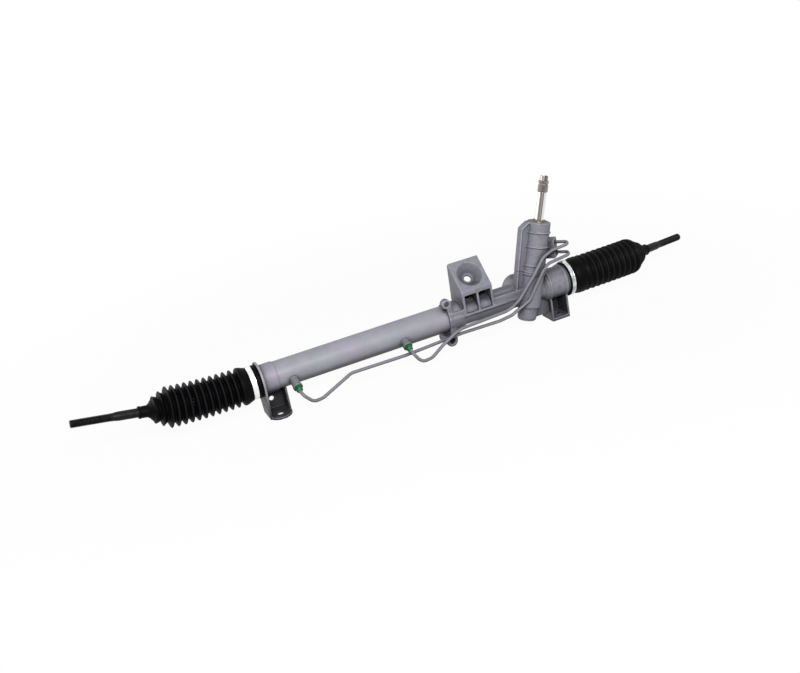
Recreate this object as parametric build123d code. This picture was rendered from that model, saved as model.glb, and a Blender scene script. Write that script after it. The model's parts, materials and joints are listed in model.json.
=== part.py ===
from build123d import *
import os
from math import acos, atan, cos, degrees, pi, radians, sin, sqrt, tan

# Hydraulic rack and pinion steering gear. Millimetres.
# +X runs along the rack towards the pinion end, +Z is up when the gear is bolted down.
# The origin is the bolt hole of the right foot, on the face that seats on the subframe.
# Every piece is drawn about the rack axis and lifted by RACK_HEIGHT when it is written.

# Clearances
RUNNING = 0.05            # radial clearance of shafts and sliding fits
SOFT_GAP = 0.3            # gap between a boot and what moves inside its cuff
THROUGH = 1.0             # how far a cutting tool passes the face it cuts
EDGE = 1.5                # ordinary chamfer
STOP_GAP = 2.0            # what is left between a socket and the housing at full lock

# Layout along the rack
RACK_HEIGHT = 70.0        # rack axis above the feet
TUBE_LEFT = -613.0        # left end of the cylinder, where the rack stops
TUBE_JOINT = -231.0       # joint between cylinder and gear housing
NECK_RIGHT = 57.0         # right end of the gear housing, where the rack stops
PINION_X = -59.0          # where the pinion crosses the rack
TRAVEL_LEFT = 67.0        # rack travel to the left from the shown place
TRAVEL_RIGHT = 80.0       # rack travel to the right from the shown place

# Cylinder
TUBE_RADIUS = 25.0
TUBE_WALL = 3.0
CAP_LENGTH = 30.0         # end cap and inner bushing
SEAL_WIDTH = 6.0

# Left foot, pressed from sheet
BRACKET_INSET = 19.0      # from the tube's end to the ring plate
BRACKET_SHEET = 4.0
BRACKET_WIDTH = 43.0
BRACKET_WALL_INSET = 8.0  # the side wall stops this far short of the front
COLLAR_WALL = 1.6
COLLAR_LENGTH = 26.0
PLATE_RADIUS = 34.0
FOOT_HALF_DEPTH = 20.0
FOOT_HOLE_RADIUS = 6.25
FOOT_BOLT_FORWARD = 12.0  # the bolt hole is this far in front of the rack axis
WEB_HOLE_RADIUS = 4.5
WEB_HOLE_HEIGHT = 22.5    # above the foot
WEB_HOLE_INSET = 18.0     # from the ring plate

# Pressure ports and pipes
PORT_INSET_LEFT = 75.0    # from the tube's left end
PORT_INSET_RIGHT = 92.0   # from the joint with the gear housing
PORT_ANGLE = 21.0         # the ports point this far below the horizontal
PORT_RADIUS = 8.0
PORT_STAND_LEFT = 22.0    # from the tube's surface to the nut
PORT_STAND_RIGHT = 14.0
PORT_COLLAR = 0.8         # raised ring at the boss's end and fillet at its foot
COLLAR_WIDTH = 5.0
PIPE_RADIUS = 3.0
PIPE_SINK = 4.0           # how far a pipe's end sits inside its boss
PIPE_RUN = 19.0           # straight run out of a tube nut
BEND_RADIUS = 22.0        # largest radius of a pipe bend
BEND_SHARE = 0.42         # share of the shorter run that a bend may take
NUT_ACROSS = 11.0
NUT_LENGTH = 9.0
NUT_CROWN = 2.0

# Rack
RACK_RADIUS = 13.0
FLAT_DEPTH = 2.8          # rack tooth tips below the rack's surface
PISTON_WIDTH = 14.0
PISTON_GAP = 0.5
PISTON_SEAT = 2.0         # depth of the groove that holds the piston on the rack
RING_WIDTH = 4.0
RING_DEPTH = 3.0

# Rack and pinion teeth
MODULE = 2.2              # normal module
PINION_TEETH = 7
PRESSURE = 25.0           # normal pressure angle
HELIX = 28.0              # pinion helix angle
LEAN = 16.3               # the pinion axis leans this far towards +X
BACKLASH = 0.16
RACK_ADDENDUM = 1.75
PINION_ADDENDUM = 2.2
ROOT_GAP = 0.5
ROOT_ROUND = 0.03         # how much wider a pinion tooth is at its root, in radians
TOOTH_LENGTH = 34.0
FLANK_STEPS = 4
SPARE_TEETH = 2           # rack teeth past those that full travel needs, at each end

# Pinion shaft, valve and tower, measured along the pinion axis from the rack
TOWER_BOTTOM = -46.0
TOWER_JOINT = 44.0
TOWER_TOP = 139.0
TOWER_RADIUS = 22.4
TOWER_BORE = 18.0
TOWER_FLANGE = 2.0        # how far the joint's flange and the ribs stand out
FLANGE_WIDTH = 4.0
RIBS = (58.0, 93.0, 120.0)
RIB_STAND = 2.0
RIB_WIDTH = 3.0
LOWER_RADIUS = 19.0
LOWER_STEP = -22.0        # below this the tower's foot is turned down
FOOT_WALL = 2.0           # wall left round the lower bearing there
PINION_CHAMBER = 14.5
BEARING_TOP = -20.0
BEARING_WIDTH = 10.0
BEARING_RADIUS = 16.0
BEARING_BORE = 6.0
RACE_WALL = 3.0
BALL_CIRCLE = 11.0
BEARING_BALL = 2.8
BEARING_BALLS = 7
BALL_GAP = 0.02
HEAD_START = 20.0         # pinion head, which carries the valve sleeve
HEAD_RADIUS = 14.0
BUSHING_WALL = 3.0
SLEEVE_START = 48.0
SLEEVE_END = 100.0
SLEEVE_GAP = 1.0
SLEEVE_GROOVE = 1.5
VALVE_GROOVES = 4
VALVE_RADIUS = 11.0
SHAFT_RADIUS = 8.2
UPPER_BEARING_START = 114.0
UPPER_BEARING_LENGTH = 14.0
UPPER_BEARING_RADIUS = 15.0
SEAL_LIP_WALL = 2.3
SEAL_LIP_HEIGHT = 3.0
SPLINE_START = 193.5
SPLINE_END = 214.5
SPLINE_RADIUS = 9.5
PINCH_GROOVE = 206.0
GROOVE_WIDTH = 3.0
TIP_END = 223.0
TIP_OUTER = 7.4
SLOT_WIDTH = 9.0
TORSION_RADIUS = 2.8
TORSION_HEAD = 4.0
HEAD_LENGTH = 14.0        # thick ends of the torsion bar
TORSION_START = 24.0
TORSION_END = 206.0
PIN_STATION = 198.0
PIN_RADIUS = 1.5
PINION_NUT_ACROSS = 18.0

# Flange down the side of the tower
WEB_REACH = 37.0
WEB_TAPER = 4.0           # how much closer to the axis its lower end is
WEB_SHOULDER = 13.0
WEB_FRONT = -4.0
WEB_BACK = 10.0
WEB_RIM = 3.0             # width of the raised rim along its front
WEB_RIM_STAND = 2.0

# Port block on the tower
BLOCK_X = -6.0
BLOCK_HEIGHT = 77.0
BLOCK_TALL = 36.0
BLOCK_WIDE = 22.0
BLOCK_DEPTH = 26.0
BLOCK_TURN = 45.0
PORT_UPPER = 88.0
PORT_LOWER = 68.0
PORT_SINK = 8.0
PIPE_OUT = 36.0           # straight run into a valve port

# Gear housing casting
BARREL_RADIUS = 23.0
SOCKET_WALL = 2.5
SOCKET_DEPTH = 26.0       # how far the tube is pressed in
SOCKET_LIP = 12.0
BORE_GAP = 2.0            # between the rack and the housing's bore
NECK_RADIUS = 29.0
NECK_START = -30.0
NECK_TAPER = 8.0
RAIL_HEIGHT = 6.0         # parting ledge along the barrel's front
RAIL_SIZE = 5.0
FACE_FRONT = -25.0        # flat face above the ledge
FACE_TOP = 18.0
BOX_HALF_WIDTH = 19.0
BOX_FRONT = -20.0
BOX_BACK = 22.0
BOX_WALL = 3.6
BOX_FLOOR = 6.0
NECK_RIB = 2.0            # the box walls run on round the neck as ribs this tall
BOX_WEB_FRONT = -8.0      # plate between the tower's foot and the box
BOX_WEB_DEPTH = 54.0
PAD_HEIGHT = 1.5          # machined pad round the right foot's hole
SHELF_FRONT = -26.0       # stepped shelf between the joint and the centre mount
SHELF_TOP = 16.0
UPPER_LUG_HEIGHT = 35.0
UPPER_LUG_RADIUS = 9.0
UPPER_LUG_HOLE = 4.25
LOWER_LUG_HEIGHT = -38.0
LOWER_LUG_RADIUS = 11.0
LOWER_LUG_HOLE = 5.4
UPPER_LUG = (-24.0, -12.0)
LOWER_LUG = (-24.0, 14.0)

# Centre mount
FUNNEL_LEFT = -199.0
FUNNEL_RIGHT = -137.0
FUNNEL_WALL = 4.5
FUNNEL_FRONT = -26.0
FUNNEL_TOP = 20.0         # back edge of the sloping face
FUNNEL_BACK = 31.0        # back wall at the rack axis
FUNNEL_LOW = 48.0         # height of the sloping face's front edge above the rack axis
FUNNEL_HIGH = 93.0        # height of its back edge
FUNNEL_MOUTH = 24.5
FUNNEL_DEPTH = 17.0
FUNNEL_SEAT = 10.5
FUNNEL_CLEAR = 16.0       # room for the nut behind the seat
BOLT_RADIUS = 6.5

# Yoke that presses the rack against the pinion
YOKE_X = -61.0
YOKE_RADIUS = 15.0
YOKE_BACK = 11.0          # yoke behind the rack
YOKE_START = 3.0
YOKE_WELL = 8.0
YOKE_WELL_RADIUS = 5.2
YOKE_BOSS_RADIUS = 24.0
YOKE_BOSS_END = 46.0
PLUG_GAP = 8.0            # between the yoke and its plug
PLUG_STAND = 5.0
PLUG_KEY = 12.0
LOCKNUT_ACROSS = 36.0
LOCKNUT_HEIGHT = 4.0
SPRING_TURNS = 2
SPRING_RADIUS = 4.0
SPRING_WIRE = 0.9

# Ball joints and tie rods
BALL_RADIUS = 13.0
SEAT_WALL = 3.0
SEAT_GAP = 0.05
SOCKET_SHELL = 3.4        # socket wall round the seats
SOCKET_BASE = 8.9         # socket wall behind the seats
SOCKET_MOUTH = 5.0        # the rolled mouth, measured forward of the ball centre
MOUTH_ROLL = 3.0
STUD_RADIUS = 8.0
STUD_LENGTH = 18.0
SEAT_FRONT = (33.0, 75.0) # angles from the rod that the front seat covers
SEAT_REAR = (112.0, 180.0)
AIM_LEFT = (-3.0, 11.0)   # tie rod swing about the vertical and up, as shown
AIM_RIGHT = (20.0, -6.4)
ROD_LENGTH = 200.0
THREAD_LENGTH = 68.0
THREAD_RADIUS = 7.0
SHANK_RADIUS = 8.0
SHANK_START = 30.0
SHANK_TAPER = 8.0
THREAD_TAPER = 14.0
NECK_THIN = 6.5

# Boots
BOOT_SEAT = 112.0         # the boot's small end, from the tip of the rod
BOOT_WALL = 2.0
CUFF_WALL = 3.5
CUFF_LEFT = 18.5
CUFF_RIGHT = 33.0
CLAMP_THICK = 1.2
CLAMP_WIDTH = 9.0
CLAMP_INSET_LEFT = 5.5    # from the tube's end to the band's middle
CLAMP_INSET_RIGHT = 25.0  # from the neck's end to the band's middle
EAR_WIDTH = 10.0
EAR_HEIGHT = 3.7
EAR_SHEET = 1.2
BOOT_RADIUS_LEFT = 34.0
BOOT_RADIUS_RIGHT = 35.0
BOOT_FULL_LEFT = 0.81     # share of the boot's length that has its full radius
BOOT_FULL_RIGHT = 0.75
BOOT_FOLD = 0.05          # share of its length in which it steps out or in
BOOT_STEPS = (25.0, 19.0) # radii of the two small folds at its tip
SMALL_END_RADIUS = 10.2
SMALL_END_LENGTH = 15.0

# Sizes that follow from the ones above
TUBE_BORE = TUBE_RADIUS - TUBE_WALL
RACK_SLIDE = RACK_RADIUS + RUNNING
RACK_FLAT = RACK_RADIUS - FLAT_DEPTH               # rack tooth tips from the rack axis
SEAL_RADIUS = (RACK_RADIUS + TUBE_BORE) / 2
SOCKET_RADIUS = TUBE_RADIUS + SOCKET_WALL
TUBE_RIGHT = TUBE_JOINT + SOCKET_DEPTH
BORE_RADIUS = RACK_RADIUS + BORE_GAP
PISTON_RADIUS = TUBE_BORE - PISTON_GAP
YOKE_LENGTH = RACK_RADIUS + YOKE_BACK
YOKE_PLUG = YOKE_LENGTH + PLUG_GAP
BRACKET_X = TUBE_LEFT + BRACKET_INSET
FOOT_BOLT_LEFT = BRACKET_X + BRACKET_WIDTH / 2
PORT_LEFT = TUBE_LEFT + PORT_INSET_LEFT
PORT_RIGHT = TUBE_JOINT - PORT_INSET_RIGHT
PORT_REACH_LEFT = TUBE_RADIUS + PORT_STAND_LEFT
PORT_REACH_RIGHT = TUBE_RADIUS + PORT_STAND_RIGHT
SLEEVE_RADIUS = TOWER_BORE - SLEEVE_GAP
SHAFT_SLIDE = SHAFT_RADIUS + RUNNING
CAVITY = BALL_RADIUS + SEAT_WALL + 2 * SEAT_GAP
SOCKET_BACK = CAVITY + SOCKET_BASE
PISTON_X = (PORT_LEFT + PORT_RIGHT + TRAVEL_LEFT - TRAVEL_RIGHT) / 2    # clears both ports
BALL_LEFT = TUBE_LEFT - STOP_GAP - TRAVEL_RIGHT - SOCKET_BACK
BALL_RIGHT = NECK_RIGHT + STOP_GAP + TRAVEL_LEFT + SOCKET_BACK

# Gear geometry that follows from them
ROLL = radians(HELIX - LEAN)                       # how far the rack teeth lean
PITCH_RADIUS = PINION_TEETH * MODULE / (2 * cos(radians(HELIX)))
RACK_PITCH = pi * MODULE / cos(ROLL)
PITCH_PLANE = RACK_FLAT - RACK_ADDENDUM
PINION_OFFSET = PITCH_PLANE + PITCH_RADIUS         # pinion axis from the rack axis
TRANSVERSE = atan(tan(radians(PRESSURE)) / cos(radians(HELIX)))
BASE_RADIUS = PITCH_RADIUS * cos(TRANSVERSE)
TIP_RADIUS = PITCH_RADIUS + PINION_ADDENDUM
ROOT_RADIUS = PITCH_RADIUS - RACK_ADDENDUM - ROOT_GAP


def turned(points):
    """Solid turned about the X axis from (x, radius) points."""
    return revolve(make_face(Polyline(*points, close=True)), Axis.X)


def bar(radius, start, end):
    return Pos((start + end) / 2, 0, 0) * Rot(0, 90, 0) * Cylinder(radius, end - start)


def ring(outer, inner, start, end):
    return turned([(start, inner), (start, outer), (end, outer), (end, inner)])


def block(low, high):
    """Box between two opposite corners."""
    size = [b - a for a, b in zip(low, high)]
    middle = [(a + b) / 2 for a, b in zip(low, high)]
    return Pos(*middle) * Box(*size)


def hexagon(across, start, end):
    section = Plane.YZ * RegularPolygon(across / 2, 6, major_radius=False)
    return Pos(start, 0, 0) * extrude(section, end - start)


def on_pinion(shape):
    """Put a piece drawn about the X axis on the pinion axis, with X running up that axis."""
    return Pos(PINION_X, -PINION_OFFSET, 0) * Rot(0, LEAN, 0) * Rot(0, -90, 0) * shape


def on_yoke(shape):
    """Put a piece drawn about the X axis in the yoke bore, with X pointing away from the pinion."""
    return Pos(YOKE_X, 0, 0) * Rot(0, 0, 90) * shape


def port(station):
    """Place on the cylinder axis whose X axis points out of a pressure port."""
    return Pos(station, 0, 0) * Rot(PORT_ANGLE, 0, 0) * Rot(0, 0, -90)


def valve_port(height):
    """Place at the mouth of a valve port whose X axis points out of it."""
    centre = Pos(BLOCK_X, -PINION_OFFSET, height) * Rot(0, 0, -BLOCK_TURN)
    return centre * Pos(BLOCK_DEPTH / 2, 0, 0)


def aim(ball, side, turn, lift):
    """Place at a ball centre whose X axis points along the tie rod."""
    half_turn = 0 if side > 0 else 180
    return Pos(ball, 0, 0) * Rot(0, 0, half_turn + side * turn) * Rot(0, -lift, 0)


# ---------------------------------------------------------------- cylinder

def cylinder_tube():
    tube = ring(TUBE_RADIUS, TUBE_BORE, TUBE_LEFT, TUBE_RIGHT)
    for station in (PORT_LEFT, PORT_RIGHT):
        tube -= port(station) * bar(PIPE_RADIUS, 0, TUBE_RADIUS + THROUGH)
    return tube


def port_boss(station, reach):
    """Threaded boss brazed to the tube, with a raised collar at its end."""
    wide = PORT_RADIUS + PORT_COLLAR
    fillet_end = TUBE_RADIUS + 2 * PORT_COLLAR
    collar = reach - COLLAR_WIDTH
    boss = turned([
        (0, PIPE_RADIUS), (0, wide), (TUBE_RADIUS + PORT_COLLAR, wide), (fillet_end, PORT_RADIUS),
        (collar - PORT_COLLAR, PORT_RADIUS), (collar, wide), (reach, wide), (reach, PIPE_RADIUS)])
    return port(station) * boss - bar(TUBE_RADIUS, station - 2 * wide, station + 2 * wide)


def tube_nut():
    """Hexagon nut with a crown, bored for the pipe."""
    corner = NUT_ACROSS / sqrt(3)
    crown = turned([(0, 0), (0, corner), (NUT_LENGTH - NUT_CROWN, corner),
                    (NUT_LENGTH, NUT_ACROSS / 2 - NUT_CROWN / 2), (NUT_LENGTH, 0)])
    return (hexagon(NUT_ACROSS, 0, NUT_LENGTH) & crown) - bar(PIPE_RADIUS, -THROUGH, NUT_LENGTH + THROUGH)


def end_cap():
    """Plug in the tube's open end, bored for the rack and stepped for its seal."""
    end = TUBE_LEFT + CAP_LENGTH
    groove = end - SEAL_WIDTH
    return turned([(TUBE_LEFT, RACK_SLIDE), (TUBE_LEFT, TUBE_BORE), (end, TUBE_BORE),
                   (end, SEAL_RADIUS), (groove, SEAL_RADIUS), (groove, RACK_SLIDE)])


def end_seal():
    end = TUBE_LEFT + CAP_LENGTH
    return ring(SEAL_RADIUS, RACK_SLIDE, end - SEAL_WIDTH, end)


def inner_bushing():
    """Bushing in the tube's inner end, stepped for the seal that faces the oil."""
    start = TUBE_RIGHT - CAP_LENGTH
    lip = start + SEAL_WIDTH
    return turned([(start, SEAL_RADIUS), (start, TUBE_BORE), (TUBE_RIGHT, TUBE_BORE),
                   (TUBE_RIGHT, RACK_SLIDE), (lip, RACK_SLIDE), (lip, SEAL_RADIUS)])


def inner_seal():
    start = TUBE_RIGHT - CAP_LENGTH
    return ring(SEAL_RADIUS, RACK_SLIDE, start, start + SEAL_WIDTH)


def bracket_plate():
    """Ring plate: a disc round the tube drawn down to the foot along its tangents."""
    edge = Pos(0, BRACKET_SHEET / 2 - RACK_HEIGHT) * Rectangle(2 * FOOT_HALF_DEPTH, BRACKET_SHEET)
    outline = make_hull(Circle(PLATE_RADIUS).edges() + edge.edges())
    return Pos(BRACKET_X, 0, 0) * extrude(Plane.YZ * outline, BRACKET_SHEET)


def left_bracket():
    """Pressed steel foot: ring plate, back web, side wall and a floor rounded about its bolt."""
    left = BRACKET_X
    right = BRACKET_X + BRACKET_WIDTH
    foot = -RACK_HEIGHT
    front = -FOOT_HALF_DEPTH
    back = FOOT_HALF_DEPTH
    bolt = Pos(FOOT_BOLT_LEFT, -FOOT_BOLT_FORWARD, foot)
    wall = block((right - BRACKET_SHEET, front + BRACKET_WALL_INSET, foot), (right, back, 0))
    web = block((left, back - BRACKET_SHEET, foot), (right, back, 0))
    floor = block((left, -FOOT_BOLT_FORWARD, foot), (right, back, foot + BRACKET_SHEET))
    floor += bolt * Pos(0, 0, BRACKET_SHEET / 2) * Cylinder(BRACKET_WIDTH / 2, BRACKET_SHEET)
    collar = bar(TUBE_RADIUS + COLLAR_WALL, left, left + BRACKET_SHEET + COLLAR_LENGTH)
    body = bracket_plate() + wall + web + floor + collar
    body -= bar(TUBE_RADIUS, left - THROUGH, right + THROUGH)
    body -= bolt * Cylinder(FOOT_HOLE_RADIUS, 4 * BRACKET_SHEET)
    window = Pos(left + WEB_HOLE_INSET, back, foot + WEB_HOLE_HEIGHT) * Rot(90, 0, 0)
    return body - window * Cylinder(WEB_HOLE_RADIUS, 4 * BRACKET_SHEET)


# ---------------------------------------------------------------- gear housing casting

def lug(height, radius, span):
    """Round ear beside the joint flange, with a web that ties it to the casting."""
    front, back = span
    ear = Pos(TUBE_JOINT, back, height) * Rot(90, 0, 0) * extrude(Circle(radius), back - front)
    low, high = sorted((0, height))
    return ear + block((TUBE_JOINT, front, low), (TUBE_JOINT + radius, back, high))


def lug_hole(height, radius):
    return Pos(TUBE_JOINT, 0, height) * Rot(90, 0, 0) * Cylinder(radius, 4 * TUBE_RADIUS)


def funnel_slope():
    """Angle of the centre mount's face above the horizontal."""
    return atan((FUNNEL_HIGH - FUNNEL_LOW) / (FUNNEL_TOP - FUNNEL_FRONT))


def funnel_face():
    """Place on the middle of the sloping face whose X axis points into it."""
    across = (FUNNEL_LEFT + FUNNEL_RIGHT) / 2
    deep = (FUNNEL_FRONT + FUNNEL_TOP) / 2
    high = (FUNNEL_LOW + FUNNEL_HIGH) / 2
    return Pos(across, deep, high) * Rot(degrees(funnel_slope()), 0, 0) * Rot(0, 90, 0)


def funnel_bracket():
    """Centre mount: three walls under a sloping face that funnels a bolt down to its seat."""
    width = FUNNEL_RIGHT - FUNNEL_LEFT
    outline = make_face(Polyline(
        (FUNNEL_FRONT, 0), (FUNNEL_FRONT, FUNNEL_LOW), (FUNNEL_TOP, FUNNEL_HIGH),
        (FUNNEL_TOP + FUNNEL_WALL, FUNNEL_HIGH - FUNNEL_WALL), (FUNNEL_BACK, 0), close=True))
    solid = Pos(FUNNEL_LEFT, 0, 0) * extrude(Plane.YZ * outline, width)
    bay = (width - 3 * FUNNEL_WALL) / 2
    for start in (FUNNEL_LEFT + FUNNEL_WALL, FUNNEL_RIGHT - FUNNEL_WALL - bay):
        solid -= Pos(start, 0, 0) * extrude(Plane.YZ * funnel_pocket(), bay)
    funnel = turned([(-THROUGH, 0), (-THROUGH, FUNNEL_MOUTH), (0, FUNNEL_MOUTH),
                     (FUNNEL_DEPTH, FUNNEL_SEAT), (FUNNEL_DEPTH, 0)])
    nut_room = bar(FUNNEL_CLEAR, FUNNEL_DEPTH + FUNNEL_WALL, 3 * FUNNEL_MOUTH)
    return solid - funnel_face() * (funnel + bar(BOLT_RADIUS, 0, 2 * FUNNEL_DEPTH) + nut_room)


def funnel_pocket():
    """Section of one of the two bays that open towards the front under the face."""
    front = FUNNEL_FRONT - THROUGH
    sill = FUNNEL_LOW - 2 * FUNNEL_WALL
    return make_face(Polyline(
        (front, 0), (front, sill), (FUNNEL_FRONT + 2 * FUNNEL_WALL, sill + FUNNEL_WALL),
        (FUNNEL_TOP - FUNNEL_WALL, FUNNEL_LOW - FUNNEL_WALL), (FUNNEL_TOP, 0), close=True))


def box_bracket():
    """Right foot: a cast box open towards the front, with the bolt hole in its floor."""
    foot = -RACK_HEIGHT
    side = BOX_HALF_WIDTH
    inner = BOX_HALF_WIDTH - BOX_WALL
    box = block((-side, BOX_FRONT, foot), (side, BOX_BACK, 0))
    inside = block((-inner, BOX_FRONT - THROUGH, foot + BOX_FLOOR), (inner, BOX_BACK - BOX_WALL, THROUGH))
    pad = Pos(0, 0, foot + BOX_FLOOR) * Cylinder(2 * FOOT_HOLE_RADIUS, 2 * PAD_HEIGHT)
    return box - inside + pad


def barrel():
    """Round body along the rack, from the socket for the cylinder to the ribbed neck."""
    body = turned([
        (TUBE_JOINT, 0), (TUBE_JOINT, SOCKET_RADIUS), (TUBE_RIGHT, SOCKET_RADIUS),
        (TUBE_RIGHT + SOCKET_LIP, BARREL_RADIUS), (NECK_START, BARREL_RADIUS),
        (NECK_START + NECK_TAPER, NECK_RADIUS), (NECK_RIGHT, NECK_RADIUS), (NECK_RIGHT, 0)])
    for start in (-BOX_HALF_WIDTH, BOX_HALF_WIDTH - BOX_WALL):
        body += bar(NECK_RADIUS + NECK_RIB, start, start + BOX_WALL)
    return body


def gear_housing():
    """Casting that holds the cylinder, the pinion, the yoke and two of the three mounts."""
    body = barrel()
    body += on_pinion(bar(LOWER_RADIUS, LOWER_STEP, 0))
    body += on_pinion(bar(BEARING_RADIUS + FOOT_WALL, TOWER_BOTTOM, LOWER_STEP))
    body += on_pinion(bar(TOWER_RADIUS, -BARREL_RADIUS, TOWER_JOINT))
    body += on_pinion(bar(TOWER_RADIUS + TOWER_FLANGE, TOWER_JOINT - FLANGE_WIDTH, TOWER_JOINT))
    body += on_pinion(side_web(0, TOWER_JOINT))
    body += on_yoke(bar(YOKE_BOSS_RADIUS, 0, YOKE_BOSS_END))
    body += lug(UPPER_LUG_HEIGHT, UPPER_LUG_RADIUS, UPPER_LUG)
    body += lug(LOWER_LUG_HEIGHT, LOWER_LUG_RADIUS, LOWER_LUG)
    body += funnel_bracket()
    body += box_bracket()
    body += block((PINION_X, BOX_WEB_FRONT, -BOX_WEB_DEPTH), (-BOX_HALF_WIDTH, BOX_WEB_FRONT + BOX_WALL, 0))
    rail = BARREL_RADIUS + RAIL_SIZE
    body += block((TUBE_JOINT, -rail, RAIL_HEIGHT - RAIL_SIZE), (PINION_X, 0, RAIL_HEIGHT))
    body += block((TUBE_JOINT, SHELF_FRONT, 0), (FUNNEL_LEFT, 0, SHELF_TOP))
    body += block((FUNNEL_RIGHT, FACE_FRONT, 0), (PINION_X, 0, FACE_TOP))
    return body - gear_housing_bores()


def gear_housing_bores():
    """Everything that is cut out of the gear housing after its outside is joined up."""
    cuts = bar(TUBE_RADIUS, TUBE_JOINT - 2 * LOWER_LUG_RADIUS, TUBE_RIGHT)
    cuts += bar(BORE_RADIUS, TUBE_JOINT, NECK_RIGHT + THROUGH)
    cuts += on_pinion(bar(PINION_CHAMBER, BEARING_TOP - THROUGH, TOWER_JOINT + THROUGH))
    cuts += on_pinion(bar(BEARING_RADIUS, TOWER_BOTTOM - THROUGH, BEARING_TOP))
    cuts += on_pinion(bar(HEAD_RADIUS + BUSHING_WALL, HEAD_START, TOWER_JOINT + THROUGH))
    cuts += on_yoke(bar(YOKE_RADIUS + RUNNING, 0, YOKE_BOSS_END + THROUGH))
    cuts += lug_hole(UPPER_LUG_HEIGHT, UPPER_LUG_HOLE) + lug_hole(LOWER_LUG_HEIGHT, LOWER_LUG_HOLE)
    return cuts + Pos(0, 0, -RACK_HEIGHT) * Cylinder(FOOT_HOLE_RADIUS, 4 * BOX_FLOOR)


# ---------------------------------------------------------------- valve housing

def valve_housing():
    """Tower over the pinion that holds the rotary valve, with ribs and the port block."""
    flange = TOWER_RADIUS + TOWER_FLANGE
    points = [(TOWER_JOINT, 0), (TOWER_JOINT, flange), (TOWER_JOINT + FLANGE_WIDTH, flange),
              (TOWER_JOINT + FLANGE_WIDTH, TOWER_RADIUS)]
    for rib in RIBS:
        points += [(rib - RIB_WIDTH / 2, TOWER_RADIUS), (rib - RIB_WIDTH / 3, TOWER_RADIUS + RIB_STAND),
                   (rib + RIB_WIDTH / 3, TOWER_RADIUS + RIB_STAND), (rib + RIB_WIDTH / 2, TOWER_RADIUS)]
    points += [(TOWER_TOP - EDGE, TOWER_RADIUS), (TOWER_TOP, TOWER_RADIUS - EDGE), (TOWER_TOP, 0)]
    body = on_pinion(turned(points))
    body += on_pinion(side_web(TOWER_JOINT, TOWER_TOP - THROUGH))
    body += port_block()
    body -= on_pinion(bar(TOWER_BORE, TOWER_JOINT - THROUGH, UPPER_BEARING_START))
    body -= on_pinion(bar(UPPER_BEARING_RADIUS, TOWER_JOINT, TOWER_TOP + THROUGH))
    for height in (PORT_UPPER, PORT_LOWER):
        body -= valve_port(height) * bar(PIPE_RADIUS, -BLOCK_DEPTH, THROUGH)
    return body


def side_web(low, high):
    """Flat flange down the side of the tower, drawn with X up the tower and Z away from +X."""
    top = TOWER_TOP - THROUGH
    outline = make_face(Polyline(
        (0, 0), (0, WEB_REACH - WEB_TAPER), (top - WEB_SHOULDER, WEB_REACH),
        (top, WEB_REACH - WEB_SHOULDER), (top, 0), close=True))
    rim = outline - offset(outline, amount=-WEB_RIM)
    plate = Pos(0, WEB_BACK, 0) * extrude(Plane.XZ * outline, WEB_BACK - WEB_FRONT)
    plate += Pos(0, WEB_FRONT, 0) * extrude(Plane.XZ * rim, WEB_RIM_STAND)
    return plate & block((low, -WEB_REACH, -THROUGH), (high, WEB_REACH, 2 * WEB_REACH))


def port_block():
    """Block on the side of the tower that the two pipes enter."""
    inner = -BLOCK_DEPTH
    half = BLOCK_WIDE / 2
    shape = block((inner, -half, -BLOCK_TALL / 2), (BLOCK_DEPTH / 2, half, BLOCK_TALL / 2))
    return Pos(BLOCK_X, -PINION_OFFSET, BLOCK_HEIGHT) * Rot(0, 0, -BLOCK_TURN) * shape


# ---------------------------------------------------------------- rack

def rack_bar():
    """Rack bar with its tooth spaces cut across the flat that faces the pinion."""
    start = BALL_LEFT + SOCKET_BACK
    end = BALL_RIGHT - SOCKET_BACK
    rack = bar(RACK_RADIUS, start, end)
    rack -= bar(STUD_RADIUS, start, start + STUD_LENGTH) + bar(STUD_RADIUS, end - STUD_LENGTH, end)
    first = -int(TRAVEL_RIGHT / RACK_PITCH) - SPARE_TEETH
    last = int(TRAVEL_LEFT / RACK_PITCH) + SPARE_TEETH
    low = PINION_X + (first - 0.5) * RACK_PITCH
    high = PINION_X + (last + 0.5) * RACK_PITCH
    rack -= block((low, -2 * RACK_RADIUS, -2 * RACK_RADIUS), (high, -RACK_FLAT, 2 * RACK_RADIUS))
    for k in range(first, last + 1):
        rack -= Pos(PINION_X + k * RACK_PITCH, -PITCH_PLANE, 0) * Rot(0, -degrees(ROLL), 0) * tooth_space()
    groove = PISTON_X - PISTON_WIDTH / 2
    return rack - ring(2 * RACK_RADIUS, RACK_RADIUS - PISTON_SEAT, groove, groove + PISTON_WIDTH)


def tooth_space():
    """Prism of one rack tooth space, lying along Z and opening towards -Y."""
    half = pi * MODULE / 4
    depth = PINION_ADDENDUM + ROOT_GAP
    slant = tan(radians(PRESSURE))
    rise = RACK_ADDENDUM + THROUGH
    space = make_face(Polyline(
        (-half - rise * slant, -rise), (half + rise * slant, -rise),
        (half - depth * slant, depth), (depth * slant - half, depth), close=True))
    return extrude(space, 2 * RACK_RADIUS, both=True)


def piston():
    """Piston seated in a groove of the rack, with a groove of its own for the ring."""
    start = PISTON_X - PISTON_WIDTH / 2
    groove = PISTON_X - RING_WIDTH / 2
    seat = PISTON_RADIUS - RING_DEPTH
    bore = RACK_RADIUS - PISTON_SEAT
    return turned([(start, bore), (start, PISTON_RADIUS), (groove, PISTON_RADIUS), (groove, seat),
                   (groove + RING_WIDTH, seat), (groove + RING_WIDTH, PISTON_RADIUS),
                   (start + PISTON_WIDTH, PISTON_RADIUS), (start + PISTON_WIDTH, bore)])


def piston_ring():
    groove = PISTON_X - RING_WIDTH / 2
    return ring(TUBE_BORE - RUNNING, PISTON_RADIUS - RING_DEPTH, groove, groove + RING_WIDTH)


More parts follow.
